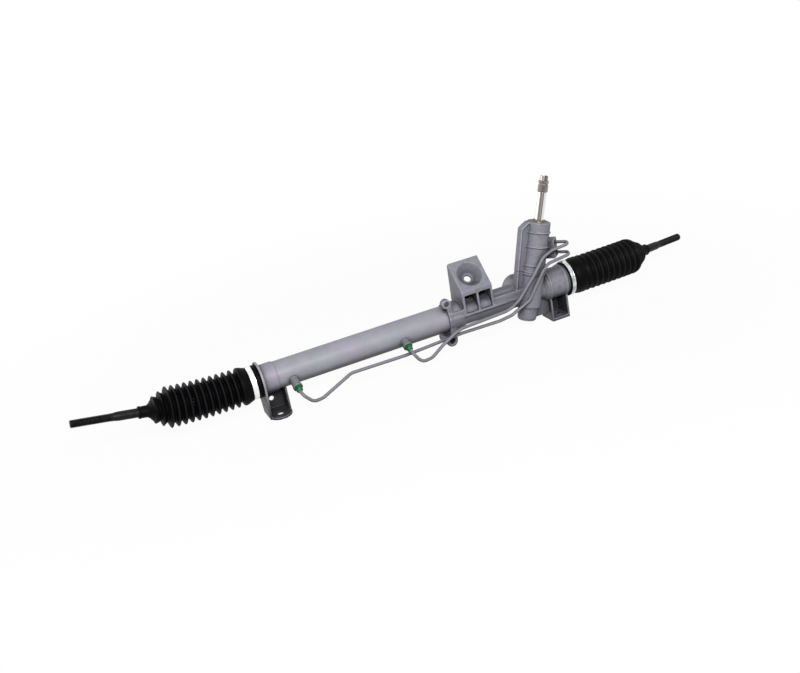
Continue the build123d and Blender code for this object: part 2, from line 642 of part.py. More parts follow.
def rack_bushing():
    return ring(BORE_RADIUS, RACK_SLIDE, NECK_RIGHT - CAP_LENGTH, NECK_RIGHT - BORE_GAP)


# ---------------------------------------------------------------- pinion and valve

def involute(radius):
    """Involute function of the pressure angle at this radius."""
    angle = acos(BASE_RADIUS / radius)
    return tan(angle) - angle


def flank_points(sign):
    """Points up one flank of a pinion tooth that stands on the +Y axis."""
    thickness = pi * MODULE / (2 * cos(radians(HELIX))) - BACKLASH
    half = thickness / (2 * PITCH_RADIUS) + tan(TRANSVERSE) - TRANSVERSE
    rise = (TIP_RADIUS - BASE_RADIUS) / FLANK_STEPS
    radii = [BASE_RADIUS + rise * step for step in range(FLANK_STEPS + 1)]
    flank = [(ROOT_RADIUS, half + ROOT_ROUND)] + [(r, half - involute(r)) for r in radii]
    return [(sign * r * sin(angle), r * cos(angle)) for r, angle in flank]


def pinion_teeth():
    """Helical teeth: the cross-section turned steadily while it is drawn up the axis."""
    points = []
    for tooth in range(PINION_TEETH):
        turn = -2 * pi * tooth / PINION_TEETH
        for x, y in flank_points(-1) + flank_points(1)[::-1]:
            points.append((x * cos(turn) - y * sin(turn), x * sin(turn) + y * cos(turn)))
    section = make_face(Polyline(*points, close=True))
    twist = degrees(TOOTH_LENGTH * tan(radians(HELIX)) / PITCH_RADIUS)
    start = Rot(0, 0, -twist / 2) * section
    solid = Solid.extrude_linear_with_rotation(start.face(), (0, 0, 0), (0, 0, TOOTH_LENGTH), twist)
    return Pos(0, 0, -TOOTH_LENGTH / 2) * solid


def pinion():
    """Shaft with the teeth in its middle, its bearing seat below and the valve's head above."""
    half = TOOTH_LENGTH / 2
    foot = TOWER_BOTTOM + BEARING_WIDTH
    shaft = turned([
        (foot, 0), (foot, BEARING_BORE), (BEARING_TOP, BEARING_BORE),
        (BEARING_TOP, BEARING_BORE + RACE_WALL),
        (-half, ROOT_RADIUS), (half, ROOT_RADIUS), (HEAD_START, HEAD_RADIUS - RACE_WALL),
        (HEAD_START, HEAD_RADIUS), (SLEEVE_START, HEAD_RADIUS), (SLEEVE_START, 0)])
    shaft -= bar(TORSION_HEAD, TORSION_START, SLEEVE_START + THROUGH)
    teeth = Pos(PINION_X, -PINION_OFFSET, 0) * Rot(0, LEAN, 0) * pinion_teeth()
    return on_pinion(shaft) + teeth


def pinion_bushing():
    start = HEAD_START + FLANGE_WIDTH
    return on_pinion(ring(HEAD_RADIUS + BUSHING_WALL, HEAD_RADIUS + RUNNING, start, TOWER_JOINT - EDGE))


def valve_sleeve():
    """Outer valve sleeve, carried by the pinion head, with ring grooves round it."""
    bore = VALVE_RADIUS + RUNNING
    floor = SLEEVE_RADIUS - SLEEVE_GROOVE
    step = (SLEEVE_END - SLEEVE_START) / VALVE_GROOVES
    points = [(SLEEVE_START, bore), (SLEEVE_START, SLEEVE_RADIUS)]
    for k in range(VALVE_GROOVES):
        low = SLEEVE_START + (k + 1 / 3) * step
        high = SLEEVE_START + (k + 2 / 3) * step
        points += [(low, SLEEVE_RADIUS), (low, floor), (high, floor), (high, SLEEVE_RADIUS)]
    points += [(SLEEVE_END, SLEEVE_RADIUS), (SLEEVE_END, bore)]
    return on_pinion(turned(points))


def torsion_bar():
    """Thin bar between two thick heads, the upper one cross-drilled for its pin."""
    low = TORSION_START + HEAD_LENGTH
    high = TORSION_END - HEAD_LENGTH
    bar_shape = turned([
        (TORSION_START, 0), (TORSION_START, TORSION_HEAD), (low, TORSION_HEAD),
        (low + TORSION_HEAD, TORSION_RADIUS), (high - TORSION_HEAD, TORSION_RADIUS),
        (high, TORSION_HEAD), (TORSION_END, TORSION_HEAD), (TORSION_END, 0)])
    return on_pinion(bar_shape - Pos(PIN_STATION, 0, 0) * Cylinder(PIN_RADIUS, 4 * TORSION_HEAD))


def torsion_pin():
    return on_pinion(Pos(PIN_STATION, 0, 0) * Cylinder(PIN_RADIUS, 2 * SPLINE_RADIUS - THROUGH))


def input_shaft():
    """Spool at the bottom, smooth shaft through the seal, then the splined end with its pinch groove."""
    low = SLEEVE_START + THROUGH
    high = SLEEVE_END - THROUGH
    shaft = turned([
        (low, TORSION_HEAD), (low, VALVE_RADIUS), (high, VALVE_RADIUS), (high + EDGE, SHAFT_RADIUS),
        (SPLINE_START, SHAFT_RADIUS), (SPLINE_START + THROUGH, SPLINE_RADIUS),
        (PINCH_GROOVE, SPLINE_RADIUS),
        (PINCH_GROOVE, SHAFT_RADIUS), (PINCH_GROOVE + GROOVE_WIDTH, SHAFT_RADIUS),
        (PINCH_GROOVE + GROOVE_WIDTH, SPLINE_RADIUS), (SPLINE_END, SPLINE_RADIUS),
        (SPLINE_END + THROUGH, TIP_OUTER), (TIP_END, TIP_OUTER), (TIP_END, TORSION_HEAD)])
    shaft -= Pos(PIN_STATION, 0, 0) * Cylinder(PIN_RADIUS, 4 * SHAFT_RADIUS)
    half = SLOT_WIDTH / 2
    slot = block((SPLINE_END + EDGE, -2 * SHAFT_RADIUS, -half), (TIP_END + THROUGH, 2 * SHAFT_RADIUS, half))
    return on_pinion(shaft - slot)


def upper_bearing():
    end = UPPER_BEARING_START + UPPER_BEARING_LENGTH
    return on_pinion(ring(UPPER_BEARING_RADIUS, SHAFT_SLIDE, UPPER_BEARING_START, end))


def input_seal():
    """Lip seal over the upper bearing, whose lip stands out of the tower round the shaft."""
    start = UPPER_BEARING_START + UPPER_BEARING_LENGTH
    shoulder = TOWER_TOP - THROUGH
    lip = SHAFT_RADIUS + SEAL_LIP_WALL
    tip = TOWER_TOP + SEAL_LIP_HEIGHT
    return on_pinion(turned([
        (start, SHAFT_SLIDE), (start, UPPER_BEARING_RADIUS), (shoulder, UPPER_BEARING_RADIUS),
        (shoulder, lip), (tip - EDGE, lip), (tip, SHAFT_RADIUS + SEAL_LIP_WALL / 2), (tip, SHAFT_SLIDE)]))


def bearing_track():
    middle = BEARING_TOP - BEARING_WIDTH / 2
    return Pos(middle, 0, 0) * Rot(0, 90, 0) * Torus(BALL_CIRCLE, BEARING_BALL + BALL_GAP)


def lower_bearing_outer():
    race = ring(BEARING_RADIUS, BEARING_RADIUS - RACE_WALL, BEARING_TOP - BEARING_WIDTH, BEARING_TOP)
    return on_pinion(race - bearing_track())


def lower_bearing_inner():
    race = ring(BEARING_BORE + RACE_WALL, BEARING_BORE, BEARING_TOP - BEARING_WIDTH, BEARING_TOP)
    return on_pinion(race - bearing_track())


def lower_bearing_balls():
    middle = BEARING_TOP - BEARING_WIDTH / 2
    balls = []
    for k in range(BEARING_BALLS):
        place = Rot(360 * k / BEARING_BALLS, 0, 0) * Pos(middle, BALL_CIRCLE, 0)
        balls.append(on_pinion(place * Sphere(BEARING_BALL)))
    return Compound(children=balls)


def pinion_nut():
    start = TOWER_BOTTOM + BEARING_WIDTH
    end = BEARING_TOP - BEARING_WIDTH
    nut = hexagon(PINION_NUT_ACROSS, start, end) - bar(BEARING_BORE, start - THROUGH, end + THROUGH)
    return on_pinion(nut)


def bottom_cap():
    """Plug pressed into the tower's foot, with a rim that closes it."""
    rim = BEARING_RADIUS + FOOT_WALL / 2
    inner = TOWER_BOTTOM + BEARING_WIDTH / 2
    return on_pinion(turned([
        (TOWER_BOTTOM - 2 * EDGE, 0), (TOWER_BOTTOM - 2 * EDGE, rim - EDGE), (TOWER_BOTTOM - EDGE, rim),
        (TOWER_BOTTOM, rim), (TOWER_BOTTOM, BEARING_RADIUS), (inner, BEARING_RADIUS), (inner, 0)]))


# ---------------------------------------------------------------- yoke

def yoke():
    """Sliding block hollowed to the rack's back, with a well for its spring."""
    well = bar(YOKE_WELL_RADIUS, YOKE_LENGTH - YOKE_WELL, YOKE_LENGTH + THROUGH)
    body = on_yoke(bar(YOKE_RADIUS, YOKE_START, YOKE_LENGTH) - well)
    return body - bar(RACK_SLIDE, YOKE_X - 2 * YOKE_RADIUS, YOKE_X + 2 * YOKE_RADIUS)


def yoke_spring():
    """Coil between the bottom of the yoke's well and the plug."""
    room = YOKE_PLUG - YOKE_LENGTH + YOKE_WELL
    rise = room - 2 * SPRING_WIRE - 2 * RUNNING
    path = Helix(rise / SPRING_TURNS, rise, SPRING_RADIUS)
    coil = sweep(Plane(origin=path @ 0, z_dir=path % 0) * Circle(SPRING_WIRE), path=path)
    return on_yoke(Pos(YOKE_PLUG - room + SPRING_WIRE + RUNNING, 0, 0) * Rot(0, 90, 0) * coil)


def yoke_plug():
    end = YOKE_BOSS_END + PLUG_STAND
    return on_yoke(bar(YOKE_RADIUS, YOKE_PLUG, end) - hexagon(PLUG_KEY, YOKE_BOSS_END, end + THROUGH))


def yoke_locknut():
    end = YOKE_BOSS_END + LOCKNUT_HEIGHT
    hole = bar(YOKE_RADIUS, YOKE_BOSS_END - THROUGH, end + THROUGH)
    return on_yoke(hexagon(LOCKNUT_ACROSS, YOKE_BOSS_END, end) - hole)


# ---------------------------------------------------------------- ball joints and tie rods

def socket(ball, side):
    """Inner ball joint housing screwed to the rack end, its mouth rolled over the seat."""
    outer = CAVITY + SOCKET_SHELL
    body = turned([(-SOCKET_BACK, 0), (-SOCKET_BACK, outer), (SOCKET_MOUTH - MOUTH_ROLL, outer),
                   (SOCKET_MOUTH, outer - MOUTH_ROLL), (SOCKET_MOUTH, 0)])
    body -= Sphere(CAVITY)
    body += bar(STUD_RADIUS, -SOCKET_BACK - STUD_LENGTH, -SOCKET_BACK)
    return aim(ball, side, 0, 0) * body


def seat_shell(span):
    """Spherical band between two angles from the rod direction."""
    inner = BALL_RADIUS + SEAT_GAP
    outer = inner + SEAT_WALL
    low, high = radians(span[0]), radians(span[1])
    middle = (low + high) / 2
    out = [(outer * cos(a), outer * sin(a)) for a in (low, middle, high)]
    back = [(inner * cos(a), inner * sin(a)) for a in (high, middle, low)]
    edge = ThreePointArc(*out) + Line(out[2], back[0]) + ThreePointArc(*back) + Line(back[2], out[0])
    return revolve(make_face(edge), Axis.X)


def tie_rod():
    """Rod along X from the ball's centre: ball, neck, shank and threaded end."""
    thread = ROD_LENGTH - THREAD_LENGTH
    rod = turned([
        (0, 0), (0, NECK_THIN), (SHANK_START - SHANK_TAPER, NECK_THIN), (SHANK_START, SHANK_RADIUS),
        (thread - THREAD_TAPER, SHANK_RADIUS), (thread, THREAD_RADIUS), (ROD_LENGTH - EDGE, THREAD_RADIUS),
        (ROD_LENGTH, THREAD_RADIUS - EDGE), (ROD_LENGTH, 0)])
    return rod + Sphere(BALL_RADIUS)


def ball_joint(name, ball, side, turn, lift):
    """The four pieces of one end, keyed by node name."""
    return {
        f"socket_{name}": socket(ball, side),
        f"seat_rear_{name}": aim(ball, side, turn, 0) * seat_shell(SEAT_REAR),
        f"seat_front_{name}": aim(ball, side, turn, lift) * seat_shell(SEAT_FRONT),
        f"tie_rod_{name}": aim(ball, side, turn, lift) * tie_rod(),
    }


# ---------------------------------------------------------------- boots and clamps

def boot(joint, cuff_end, cuff_length, seat, radius, full):
    """Plain bellows solid: a cuff on the housing, a body that bends, a small end on the rod."""
    ball, side, turn, lift = joint
    rod = aim(*joint)
    small = ROD_LENGTH - BOOT_SEAT - SMALL_END_LENGTH
    tip = rod * Pos(small, 0, 0)
    curve = Bezier((cuff_end, 0, 0), (ball, 0, 0), tip.position)
    shares = (0, BOOT_FOLD, full / 2, full, full + BOOT_FOLD, (1 + full + BOOT_FOLD) / 2, 1)
    widths = (radius, radius, radius, *BOOT_STEPS)
    hole = SHANK_RADIUS + SOFT_GAP
    skin = bellows(curve, shares, (seat + CUFF_WALL, *widths, SMALL_END_RADIUS))
    skin -= bellows(curve, shares, (seat, *(width - BOOT_WALL for width in widths), hole))
    low, high = sorted((cuff_end, cuff_end - side * cuff_length))
    skin += ring(seat + CUFF_WALL, seat, low, high)
    return skin + rod * ring(SMALL_END_RADIUS, hole, small, small + SMALL_END_LENGTH)


def bellows(curve, shares, radii):
    """Ruled skin through circles square to a curve."""
    sections = []
    for share, radius in zip(shares, radii):
        heading = curve % share
        level = Plane(origin=curve @ share, x_dir=Vector(0, 0, 1).cross(heading), z_dir=heading)
        sections.append(level * Circle(radius))
    return loft(sections, ruled=True)


def boot_clamp(middle, seat):
    """Steel band round the cuff with its crimped ear on top."""
    inner = seat + CUFF_WALL
    outer = inner + CLAMP_THICK
    low = middle - CLAMP_WIDTH / 2
    high = middle + CLAMP_WIDTH / 2
    half = EAR_WIDTH / 2
    top = outer + EAR_HEIGHT
    ear = block((low, -half, 0), (high, half, top))
    ear -= block((low - THROUGH, EAR_SHEET - half, 0), (high + THROUGH, half - EAR_SHEET, top - EAR_SHEET))
    ear -= bar(inner + CLAMP_THICK / 2, low - THROUGH, high + THROUGH)
    return ring(outer, inner, low, high) + ear


# ---------------------------------------------------------------- pipes

def pipe(points):
    """Pipe swept along straight runs joined by tangent arcs."""
    spots = [Vector(*point) for point in points]
    bends = []
    for before, corner, after in zip(spots, spots[1:], spots[2:]):
        run_in = corner - before
        run_out = after - corner
        half_turn = radians(run_in.get_angle(run_out)) / 2
        bends.append(min(BEND_RADIUS, BEND_SHARE * min(run_in.length, run_out.length) / tan(half_turn)))
    path = FilletPolyline(*spots, radius=bends)
    return sweep(Plane(origin=path @ 0, z_dir=path % 0) * Circle(PIPE_RADIUS), path=path)


def out_of(place, distance):
    """Point this far along a place's X axis."""
    return tuple((place * Pos(distance, 0, 0)).position)


def pipe_left():
    start = port(PORT_LEFT)
    end = valve_port(PORT_LOWER)
    return pipe([
        out_of(start, PORT_REACH_LEFT - PIPE_SINK), out_of(start, PORT_REACH_LEFT + PIPE_RUN),
        (PORT_LEFT + 17, -63, -43), (PORT_LEFT + 36, -58, -44), (PORT_LEFT + 99, -44, -23),
        (-330, -39, -27), (-216, -38, -22), (-139, -41, -22), (-114, -43, -18), (-76, -47, 1),
        (-42, -48, 48), (-27, -46, 59),
        out_of(end, PIPE_OUT), out_of(end, -PORT_SINK)])


def pipe_right():
    start = port(PORT_RIGHT)
    end = valve_port(PORT_UPPER)
    return pipe([
        out_of(start, PORT_REACH_RIGHT - PIPE_SINK), out_of(start, PORT_REACH_RIGHT + PIPE_RUN),
        (PORT_RIGHT + 12, -61, -40), (PORT_RIGHT + 35, -55, -41), (PORT_RIGHT + 62, -49, -27),
        (-232, -47, -13), (-216, -44, -10), (-123, -38, -9), (-108, -40, -4), (-94, -44, 8),
        (-60, -47, 46), (-37, -47, 74), (-16, -46, 82),
        out_of(end, PIPE_OUT), out_of(end, -PORT_SINK)])


def parts():
    """Every sub-part by node name."""
    left = (BALL_LEFT, -1, *AIM_LEFT)
    right = (BALL_RIGHT, 1, *AIM_RIGHT)
    return {
        "cylinder_tube": cylinder_tube(),
        "port_boss_left": port_boss(PORT_LEFT, PORT_REACH_LEFT),
        "port_boss_right": port_boss(PORT_RIGHT, PORT_REACH_RIGHT),
        "tube_nut_left": port(PORT_LEFT) * Pos(PORT_REACH_LEFT, 0, 0) * tube_nut(),
        "tube_nut_right": port(PORT_RIGHT) * Pos(PORT_REACH_RIGHT, 0, 0) * tube_nut(),
        "end_cap": end_cap(),
        "end_seal": end_seal(),
        "inner_bushing": inner_bushing(),
        "inner_seal": inner_seal(),
        "left_bracket": left_bracket(),
        "gear_housing": gear_housing(),
        "valve_housing": valve_housing(),
        "rack_bar": rack_bar(),
        "piston": piston(),
        "piston_ring": piston_ring(),
        "rack_bushing": rack_bushing(),
        "pinion": pinion(),
        "pinion_bushing": pinion_bushing(),
        "valve_sleeve": valve_sleeve(),
        "torsion_bar": torsion_bar(),
        "torsion_pin": torsion_pin(),
        "input_shaft": input_shaft(),
        "upper_bearing": upper_bearing(),
        "input_seal": input_seal(),
        "lower_bearing_outer": lower_bearing_outer(),
        "lower_bearing_inner": lower_bearing_inner(),
        "lower_bearing_balls": lower_bearing_balls(),
        "pinion_nut": pinion_nut(),
        "bottom_cap": bottom_cap(),
        "yoke": yoke(),
        "yoke_spring": yoke_spring(),
        "yoke_plug": yoke_plug(),
        "yoke_locknut": yoke_locknut(),
        **ball_joint("left", *left),
        **ball_joint("right", *right),
        "boot_left": boot(left, TUBE_LEFT, CUFF_LEFT, TUBE_RADIUS, BOOT_RADIUS_LEFT, BOOT_FULL_LEFT),
        "boot_right": boot(right, NECK_RIGHT, CUFF_RIGHT, NECK_RADIUS, BOOT_RADIUS_RIGHT, BOOT_FULL_RIGHT),
        "boot_clamp_left": boot_clamp(TUBE_LEFT + CLAMP_INSET_LEFT, TUBE_RADIUS),
        "boot_clamp_right": boot_clamp(NECK_RIGHT - CLAMP_INSET_RIGHT, NECK_RADIUS),
        "pipe_left": pipe_left(),
        "pipe_right": pipe_right(),
    }


os.makedirs("parts", exist_ok=True)
for name, shape in parts().items():
    export_step(Pos(0, 0, RACK_HEIGHT) * shape, f"parts/{name}.step")
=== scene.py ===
import json
from math import atan2, cos, pi, radians, sin, sqrt

import bmesh
import bpy
import numpy as np
from mathutils import Matrix, Vector


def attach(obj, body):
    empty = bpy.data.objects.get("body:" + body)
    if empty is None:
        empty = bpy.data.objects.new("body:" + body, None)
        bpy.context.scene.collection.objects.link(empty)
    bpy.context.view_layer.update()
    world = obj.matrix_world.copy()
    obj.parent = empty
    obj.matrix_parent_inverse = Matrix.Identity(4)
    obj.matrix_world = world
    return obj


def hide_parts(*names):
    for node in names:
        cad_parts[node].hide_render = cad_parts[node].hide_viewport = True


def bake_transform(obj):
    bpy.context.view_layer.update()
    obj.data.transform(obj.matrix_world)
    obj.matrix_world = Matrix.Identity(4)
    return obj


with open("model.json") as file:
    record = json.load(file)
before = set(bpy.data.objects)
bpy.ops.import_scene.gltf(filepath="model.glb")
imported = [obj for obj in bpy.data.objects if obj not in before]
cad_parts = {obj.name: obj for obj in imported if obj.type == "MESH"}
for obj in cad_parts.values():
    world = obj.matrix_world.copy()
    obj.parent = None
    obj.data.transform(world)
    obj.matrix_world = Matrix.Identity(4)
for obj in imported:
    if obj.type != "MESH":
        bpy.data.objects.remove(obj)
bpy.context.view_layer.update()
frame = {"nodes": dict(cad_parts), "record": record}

# The object's lengths are in millimetres in the frame's own axes, and piece() turns them into metres. The
# studio's are in metres.
MM = 0.001
AROUND = 96                   # faces round a turned piece
CORNER_STEPS = 3              # faces across a rounded corner
CORNER_SHARE = 0.45           # of a side that a rounded corner may take at most
SAME_POINT = 1e-6             # points nearer than this are one, in metres
CAD_SAME_POINT = 1e-5         # the same before a CAD mesh is closed up into cells
SMOOTH = radians(35)          # edges sharper than this stay sharp
SMOOTH_SOFT = radians(60)     # the same for rubber folds and cast skins
SMOOTH_FINE = radians(28)     # the same for the cut spline

# Places and sizes that several pieces share. Those along the rack are X values.
RACK_HEIGHT = 70.0
TUBE_LEFT = -613.0
TUBE_RADIUS = 25.0
NECK_RIGHT = 57.0
NECK_RADIUS = 29.0
PINION_X = -59.0
PINION_OFFSET = 17.1708       # from the rack's axis to the pinion's, towards the front
LEAN = 16.3                   # of the pinion's axis from upright, in degrees

# The tie rods at rest: X of the ball's centre, side, swing and lift in degrees
LEFT_JOINT = (-720.0, -1, -3.0, 11.0)
RIGHT_JOINT = (151.0, 1, 20.0, -6.4)


def shift(x, y, z):
    return Matrix.Translation((x, y, z))


def turn(x, y, z):
    """Turns about X, then Y, then Z of the moved frame, in degrees."""
    return (Matrix.Rotation(radians(x), 4, "X") @ Matrix.Rotation(radians(y), 4, "Y")
            @ Matrix.Rotation(radians(z), 4, "Z"))


RACK = shift(0, 0, RACK_HEIGHT)
PINION = RACK @ shift(PINION_X, -PINION_OFFSET, 0) @ turn(0, LEAN, 0) @ turn(0, -90, 0)


def aim(ball, side, swing, lift):
    """Place at a ball's centre whose X axis points along the tie rod. The side is -1 left and 1 right."""
    half_turn = 0 if side > 0 else 180
    return RACK @ shift(ball, 0, 0) @ turn(0, 0, half_turn + side * swing) @ turn(0, -lift, 0)


# ---------------------------------------------------------------- meshes

def new_object(name, data):
    obj = bpy.data.objects.new(name, data)
    bpy.context.scene.collection.objects.link(obj)
    return obj


def piece(name, points, faces, place=Matrix.Identity(4)):
    """A mesh object from points in millimetres in the frame of a place."""
    world = Matrix.Scale(MM, 4) @ place
    mesh = bpy.data.meshes.new(name)
    mesh.from_pydata([world @ Vector(p) for p in points], [], faces)
    mesh.validate()
    obj = new_object(name, mesh)
    clean(obj)
    return obj


def clean(obj, weld=0.0):
    """Joins points that are nearer than the weld distance, turns faces outwards and smooths them."""
    work = bmesh.new()
    work.from_mesh(obj.data)
    if weld:
        bmesh.ops.remove_doubles(work, verts=work.verts, dist=weld)
    bmesh.ops.recalc_face_normals(work, faces=work.faces)
    work.to_mesh(obj.data)
    work.free()
    shade(obj)


def smooth_faces(mesh):
    mesh.polygons.foreach_set("use_smooth", [True] * len(mesh.polygons))


def shade(obj, angle=SMOOTH):
    """Smooth shading up to an angle."""
    smooth_faces(obj.data)
    obj.data.set_sharp_from_angle(angle=angle)


def grid_faces(rows, columns, wrap_rows=False):
    """Quads between neighbouring rows of a grid of points whose rows each go all the way round."""
    faces = []
    for i in range(rows if wrap_rows else rows - 1):
        here, below = i * columns, (i + 1) % rows * columns
        for j in range(columns):
            beside = (j + 1) % columns
            faces.append((here + j, here + beside, below + beside, below + j))
    return faces


def angles(count):
    return [2 * pi * k / count for k in range(count)]


def circle(x, radius, around):
    """Points of a circle about the X axis."""
    return [(x, radius * cos(a), radius * sin(a)) for a in angles(around)]


def rounded(outline, radius, closed=False):
    """The outline with each corner cut by a small arc, no larger than its sides allow."""
    spots = [Vector(p) for p in outline]
    count = len(spots)
    result = []
    for i, corner in enumerate(spots):
        if not closed and i in (0, count - 1):
            result.append(corner)
            continue
        before, after = spots[i - 1] - corner, spots[(i + 1) % count] - corner
        reach = min(radius, CORNER_SHARE * before.length, CORNER_SHARE * after.length)
        start, end = corner + before.normalized() * reach, corner + after.normalized() * reach
        for k in range(CORNER_STEPS + 1):
            t = k / CORNER_STEPS
            result.append((1 - t) ** 2 * start + 2 * t * (1 - t) * corner + t * t * end)
    return [tuple(p) for p in result]


def lathe(name, outline, place, around=AROUND, closed=False, edge=0.4):
    """A piece turned about a place's X axis from (x, radius) points, with its corners rounded by the edge. An
    open outline starts and ends on the axis."""
    outline = rounded(outline, edge, closed)
    points = [p for x, radius in outline for p in circle(x, radius, around)]
    obj = piece(name, points, grid_faces(len(outline), around, wrap_rows=closed), place)
    if not closed:
        clean(obj, SAME_POINT)
    return obj


def mark_points(obj, name, values):
    """Gives each point of a piece its own value for the material to read."""
    layer = obj.data.attributes.new(name, "FLOAT", "POINT")
    layer.data.foreach_set("value", values)


def mark(obj, name, value):
    """Gives every point of a piece the same value for the material to read."""
    mark_points(obj, name, [value] * len(obj.data.vertices))


def apply_modifiers(obj):
    graph = bpy.context.evaluated_depsgraph_get()
    mesh = bpy.data.meshes.new_from_object(obj.evaluated_get(graph))
    old = obj.data
    obj.modifiers.clear()
    obj.data = mesh
    bpy.data.meshes.remove(old)


def join(name, *objects):
    """One object from several."""
    work = bmesh.new()
    for obj in objects:
        work.from_mesh(obj.data)
    mesh = bpy.data.meshes.new(name)
    work.to_mesh(mesh)
    work.free()
    for obj in objects:
        bpy.data.objects.remove(obj)
    result = new_object(name, mesh)
    shade(result)
    return result


def paint(obj, slot):
    obj.data.materials.clear()
    obj.data.materials.append(MATERIALS[slot])


def dress(obj, body, slot, replaces=()):
    """Gives a piece its material, its body if it has one, and the CAD nodes it stands for."""
    paint(obj, slot)
    if body:
        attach(obj, body)
    if replaces:
        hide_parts(*replaces)


# ---------------------------------------------------------------- materials

NOISE_RANGE = (0.3, 0.7)      # where nearly all of a noise's values lie
NOISE_ROUGHNESS = 0.55


class Tree:
    """A node tree, with short calls for the nodes that the finishes and the studio use."""

    def __init__(self, owner):
        owner.use_nodes = True
        self.nodes, self.links = owner.node_tree.nodes, owner.node_tree.links

    def add(self, kind, **settings):
        node = self.nodes.new(kind)
        for key, value in settings.items():
            setattr(node, key, value)
        return node

    def feed(self, node, **inputs):
        """Sets or links a node's inputs, given by name, or as i0, i1 and so on by number."""
        for key, value in inputs.items():
            by_number = key[1:].isdigit()
            socket = node.inputs[int(key[1:])] if by_number else node.inputs[key.replace("_", " ")]
            if isinstance(value, bpy.types.NodeSocket):
                self.links.new(value, socket)
            else:
                socket.default_value = value
        return node

    def maths(self, operation, a, b):
        return self.feed(self.add("ShaderNodeMath", operation=operation), i0=a, i1=b).outputs[0]

    def mix(self, share, a, b):
        """Colour a turning into colour b by a share."""
        node = self.add("ShaderNodeMix", data_type="RGBA")
        return self.feed(node, i0=share, i6=a, i7=b).outputs[2]


class Finish(Tree):
    """A material and its node tree. Sizes are in millimetres on the object."""

    def __init__(self, name, **values):
        self.material = bpy.data.materials.new(name)
        super().__init__(self.material)
        self.shader = self.feed(self.nodes["Principled BSDF"], **values)
        self.coordinates = self.add("ShaderNodeTexCoord").outputs["Object"]

    def mapped(self, vector, **settings):
        return self.feed(self.add("ShaderNodeMapping"), Vector=vector, **settings).outputs["Vector"]

    def stretched(self, scale):
        """Coordinates multiplied along X, Y and Z."""
        return self.mapped(self.coordinates, Scale=scale)

    def leaning(self, scale):
        """Coordinates stood up along the pinion axis, then multiplied."""
        return self.mapped(self.mapped(self.coordinates, Rotation=(0, -radians(LEAN), 0)), Scale=scale)

    def marked(self, name):
        """The value that mark() gave to the points."""
        return self.add("ShaderNodeAttribute", attribute_name=name).outputs["Fac"]

    def noise(self, size, detail, roughness=NOISE_ROUGHNESS, vector=None):
        """Noise from 0 to 1 whose spots are about this large."""
        node = self.add("ShaderNodeTexNoise")
        self.feed(node, Vector=vector or self.coordinates, Scale=1 / (size * MM), Detail=detail,
                  Roughness=roughness)
        return node.outputs["Fac"]

    def cells(self, size):
        """Distance from the middle of the nearest of many scattered cells."""
        node = self.add("ShaderNodeTexVoronoi")
        return self.feed(node, Vector=self.coordinates, Scale=1 / (size * MM)).outputs["Distance"]

    def spread(self, value, low, high, to_low=0.0, to_high=1.0):
        """A value mapped from one range to another, and held inside it."""
        node = self.add("ShaderNodeMapRange", interpolation_type="SMOOTHSTEP")
        self.feed(node, Value=value, From_Min=low, From_Max=high, To_Min=to_low, To_Max=to_high)
        return node.outputs["Result"]

    def spots(self, size, detail, low, high, share=1.0, roughness=NOISE_ROUGHNESS):
        """0 where noise is under low, rising to a share where it is over high."""
        return self.spread(self.noise(size, detail, roughness), low, high, 0.0, share)

    def wander(self, size, low, high, detail=3.0):
        """A value that wanders between two others."""
        return self.spread(self.noise(size, detail), *NOISE_RANGE, low, high)

    def plus(self, a, b):
        return self.maths("ADD", a, b)

    def times(self, a, b):
        return self.maths("MULTIPLY", a, b)

    def layered(self, base, *layers):
        """A colour under layers of (share, colour)."""
        for share, colour in layers:
            base = self.mix(share, base, colour)
        return base

    def edges(self, low, high):
        """1 on outer edges of a dense mesh, 0 elsewhere. A flat face's pointiness is 0.5."""
        return self.spread(self.add("ShaderNodeNewGeometry").outputs["Pointiness"], low, high)

    def hollows(self, low, high):
        """1 in inner corners of a dense mesh, 0 elsewhere."""
        return self.spread(self.add("ShaderNodeNewGeometry").outputs["Pointiness"], low, high, 1.0, 0.0)

    def facing(self, low, high):
        """0 to 1 as the upward share of the surface's direction goes from low to high."""
        normal = self.add("ShaderNodeNewGeometry").outputs["Normal"]
        split = self.feed(self.add("ShaderNodeSeparateXYZ"), i0=normal)
        return self.spread(split.outputs["Z"], low, high)

    def sheltered(self, reach, low, high):
        """1 deep inside a hollow or right beside another piece, 0 in the open."""
        node = self.feed(self.add("ShaderNodeAmbientOcclusion", samples=6), Distance=reach * MM)
        return self.spread(node.outputs["AO"], low, high, 1.0, 0.0)

    def finish(self, colour, roughness, height, depth):
        """The material, with a relief this deep."""
        relief = self.feed(self.add("ShaderNodeBump"), Height=height, Distance=depth * MM, Strength=1.0)
        self.feed(self.shader, Base_Color=colour, Roughness=roughness, Normal=relief.outputs["Normal"])
        return self.material


def opaque(colour, factor=1.0):
    """A colour for a node, made darker or lighter by a factor."""
    return (*(factor * c for c in colour), 1.0)


def tinted(colour, tint):
    return opaque([f * c for f, c in zip(tint, colour)])


HOUSING_GREY = (0.275, 0.274, 0.315)
TUBE_GREY = (0.36, 0.358, 0.405)
BRACKET_GREY = (0.35, 0.348, 0.394)
PIPE_GREY = (0.24, 0.24, 0.27)
WARM = (1.1, 0.92, 1.09)      # the two tints of an aluminium-coloured paint's bloom
COOL = (0.78, 0.98, 0.95)


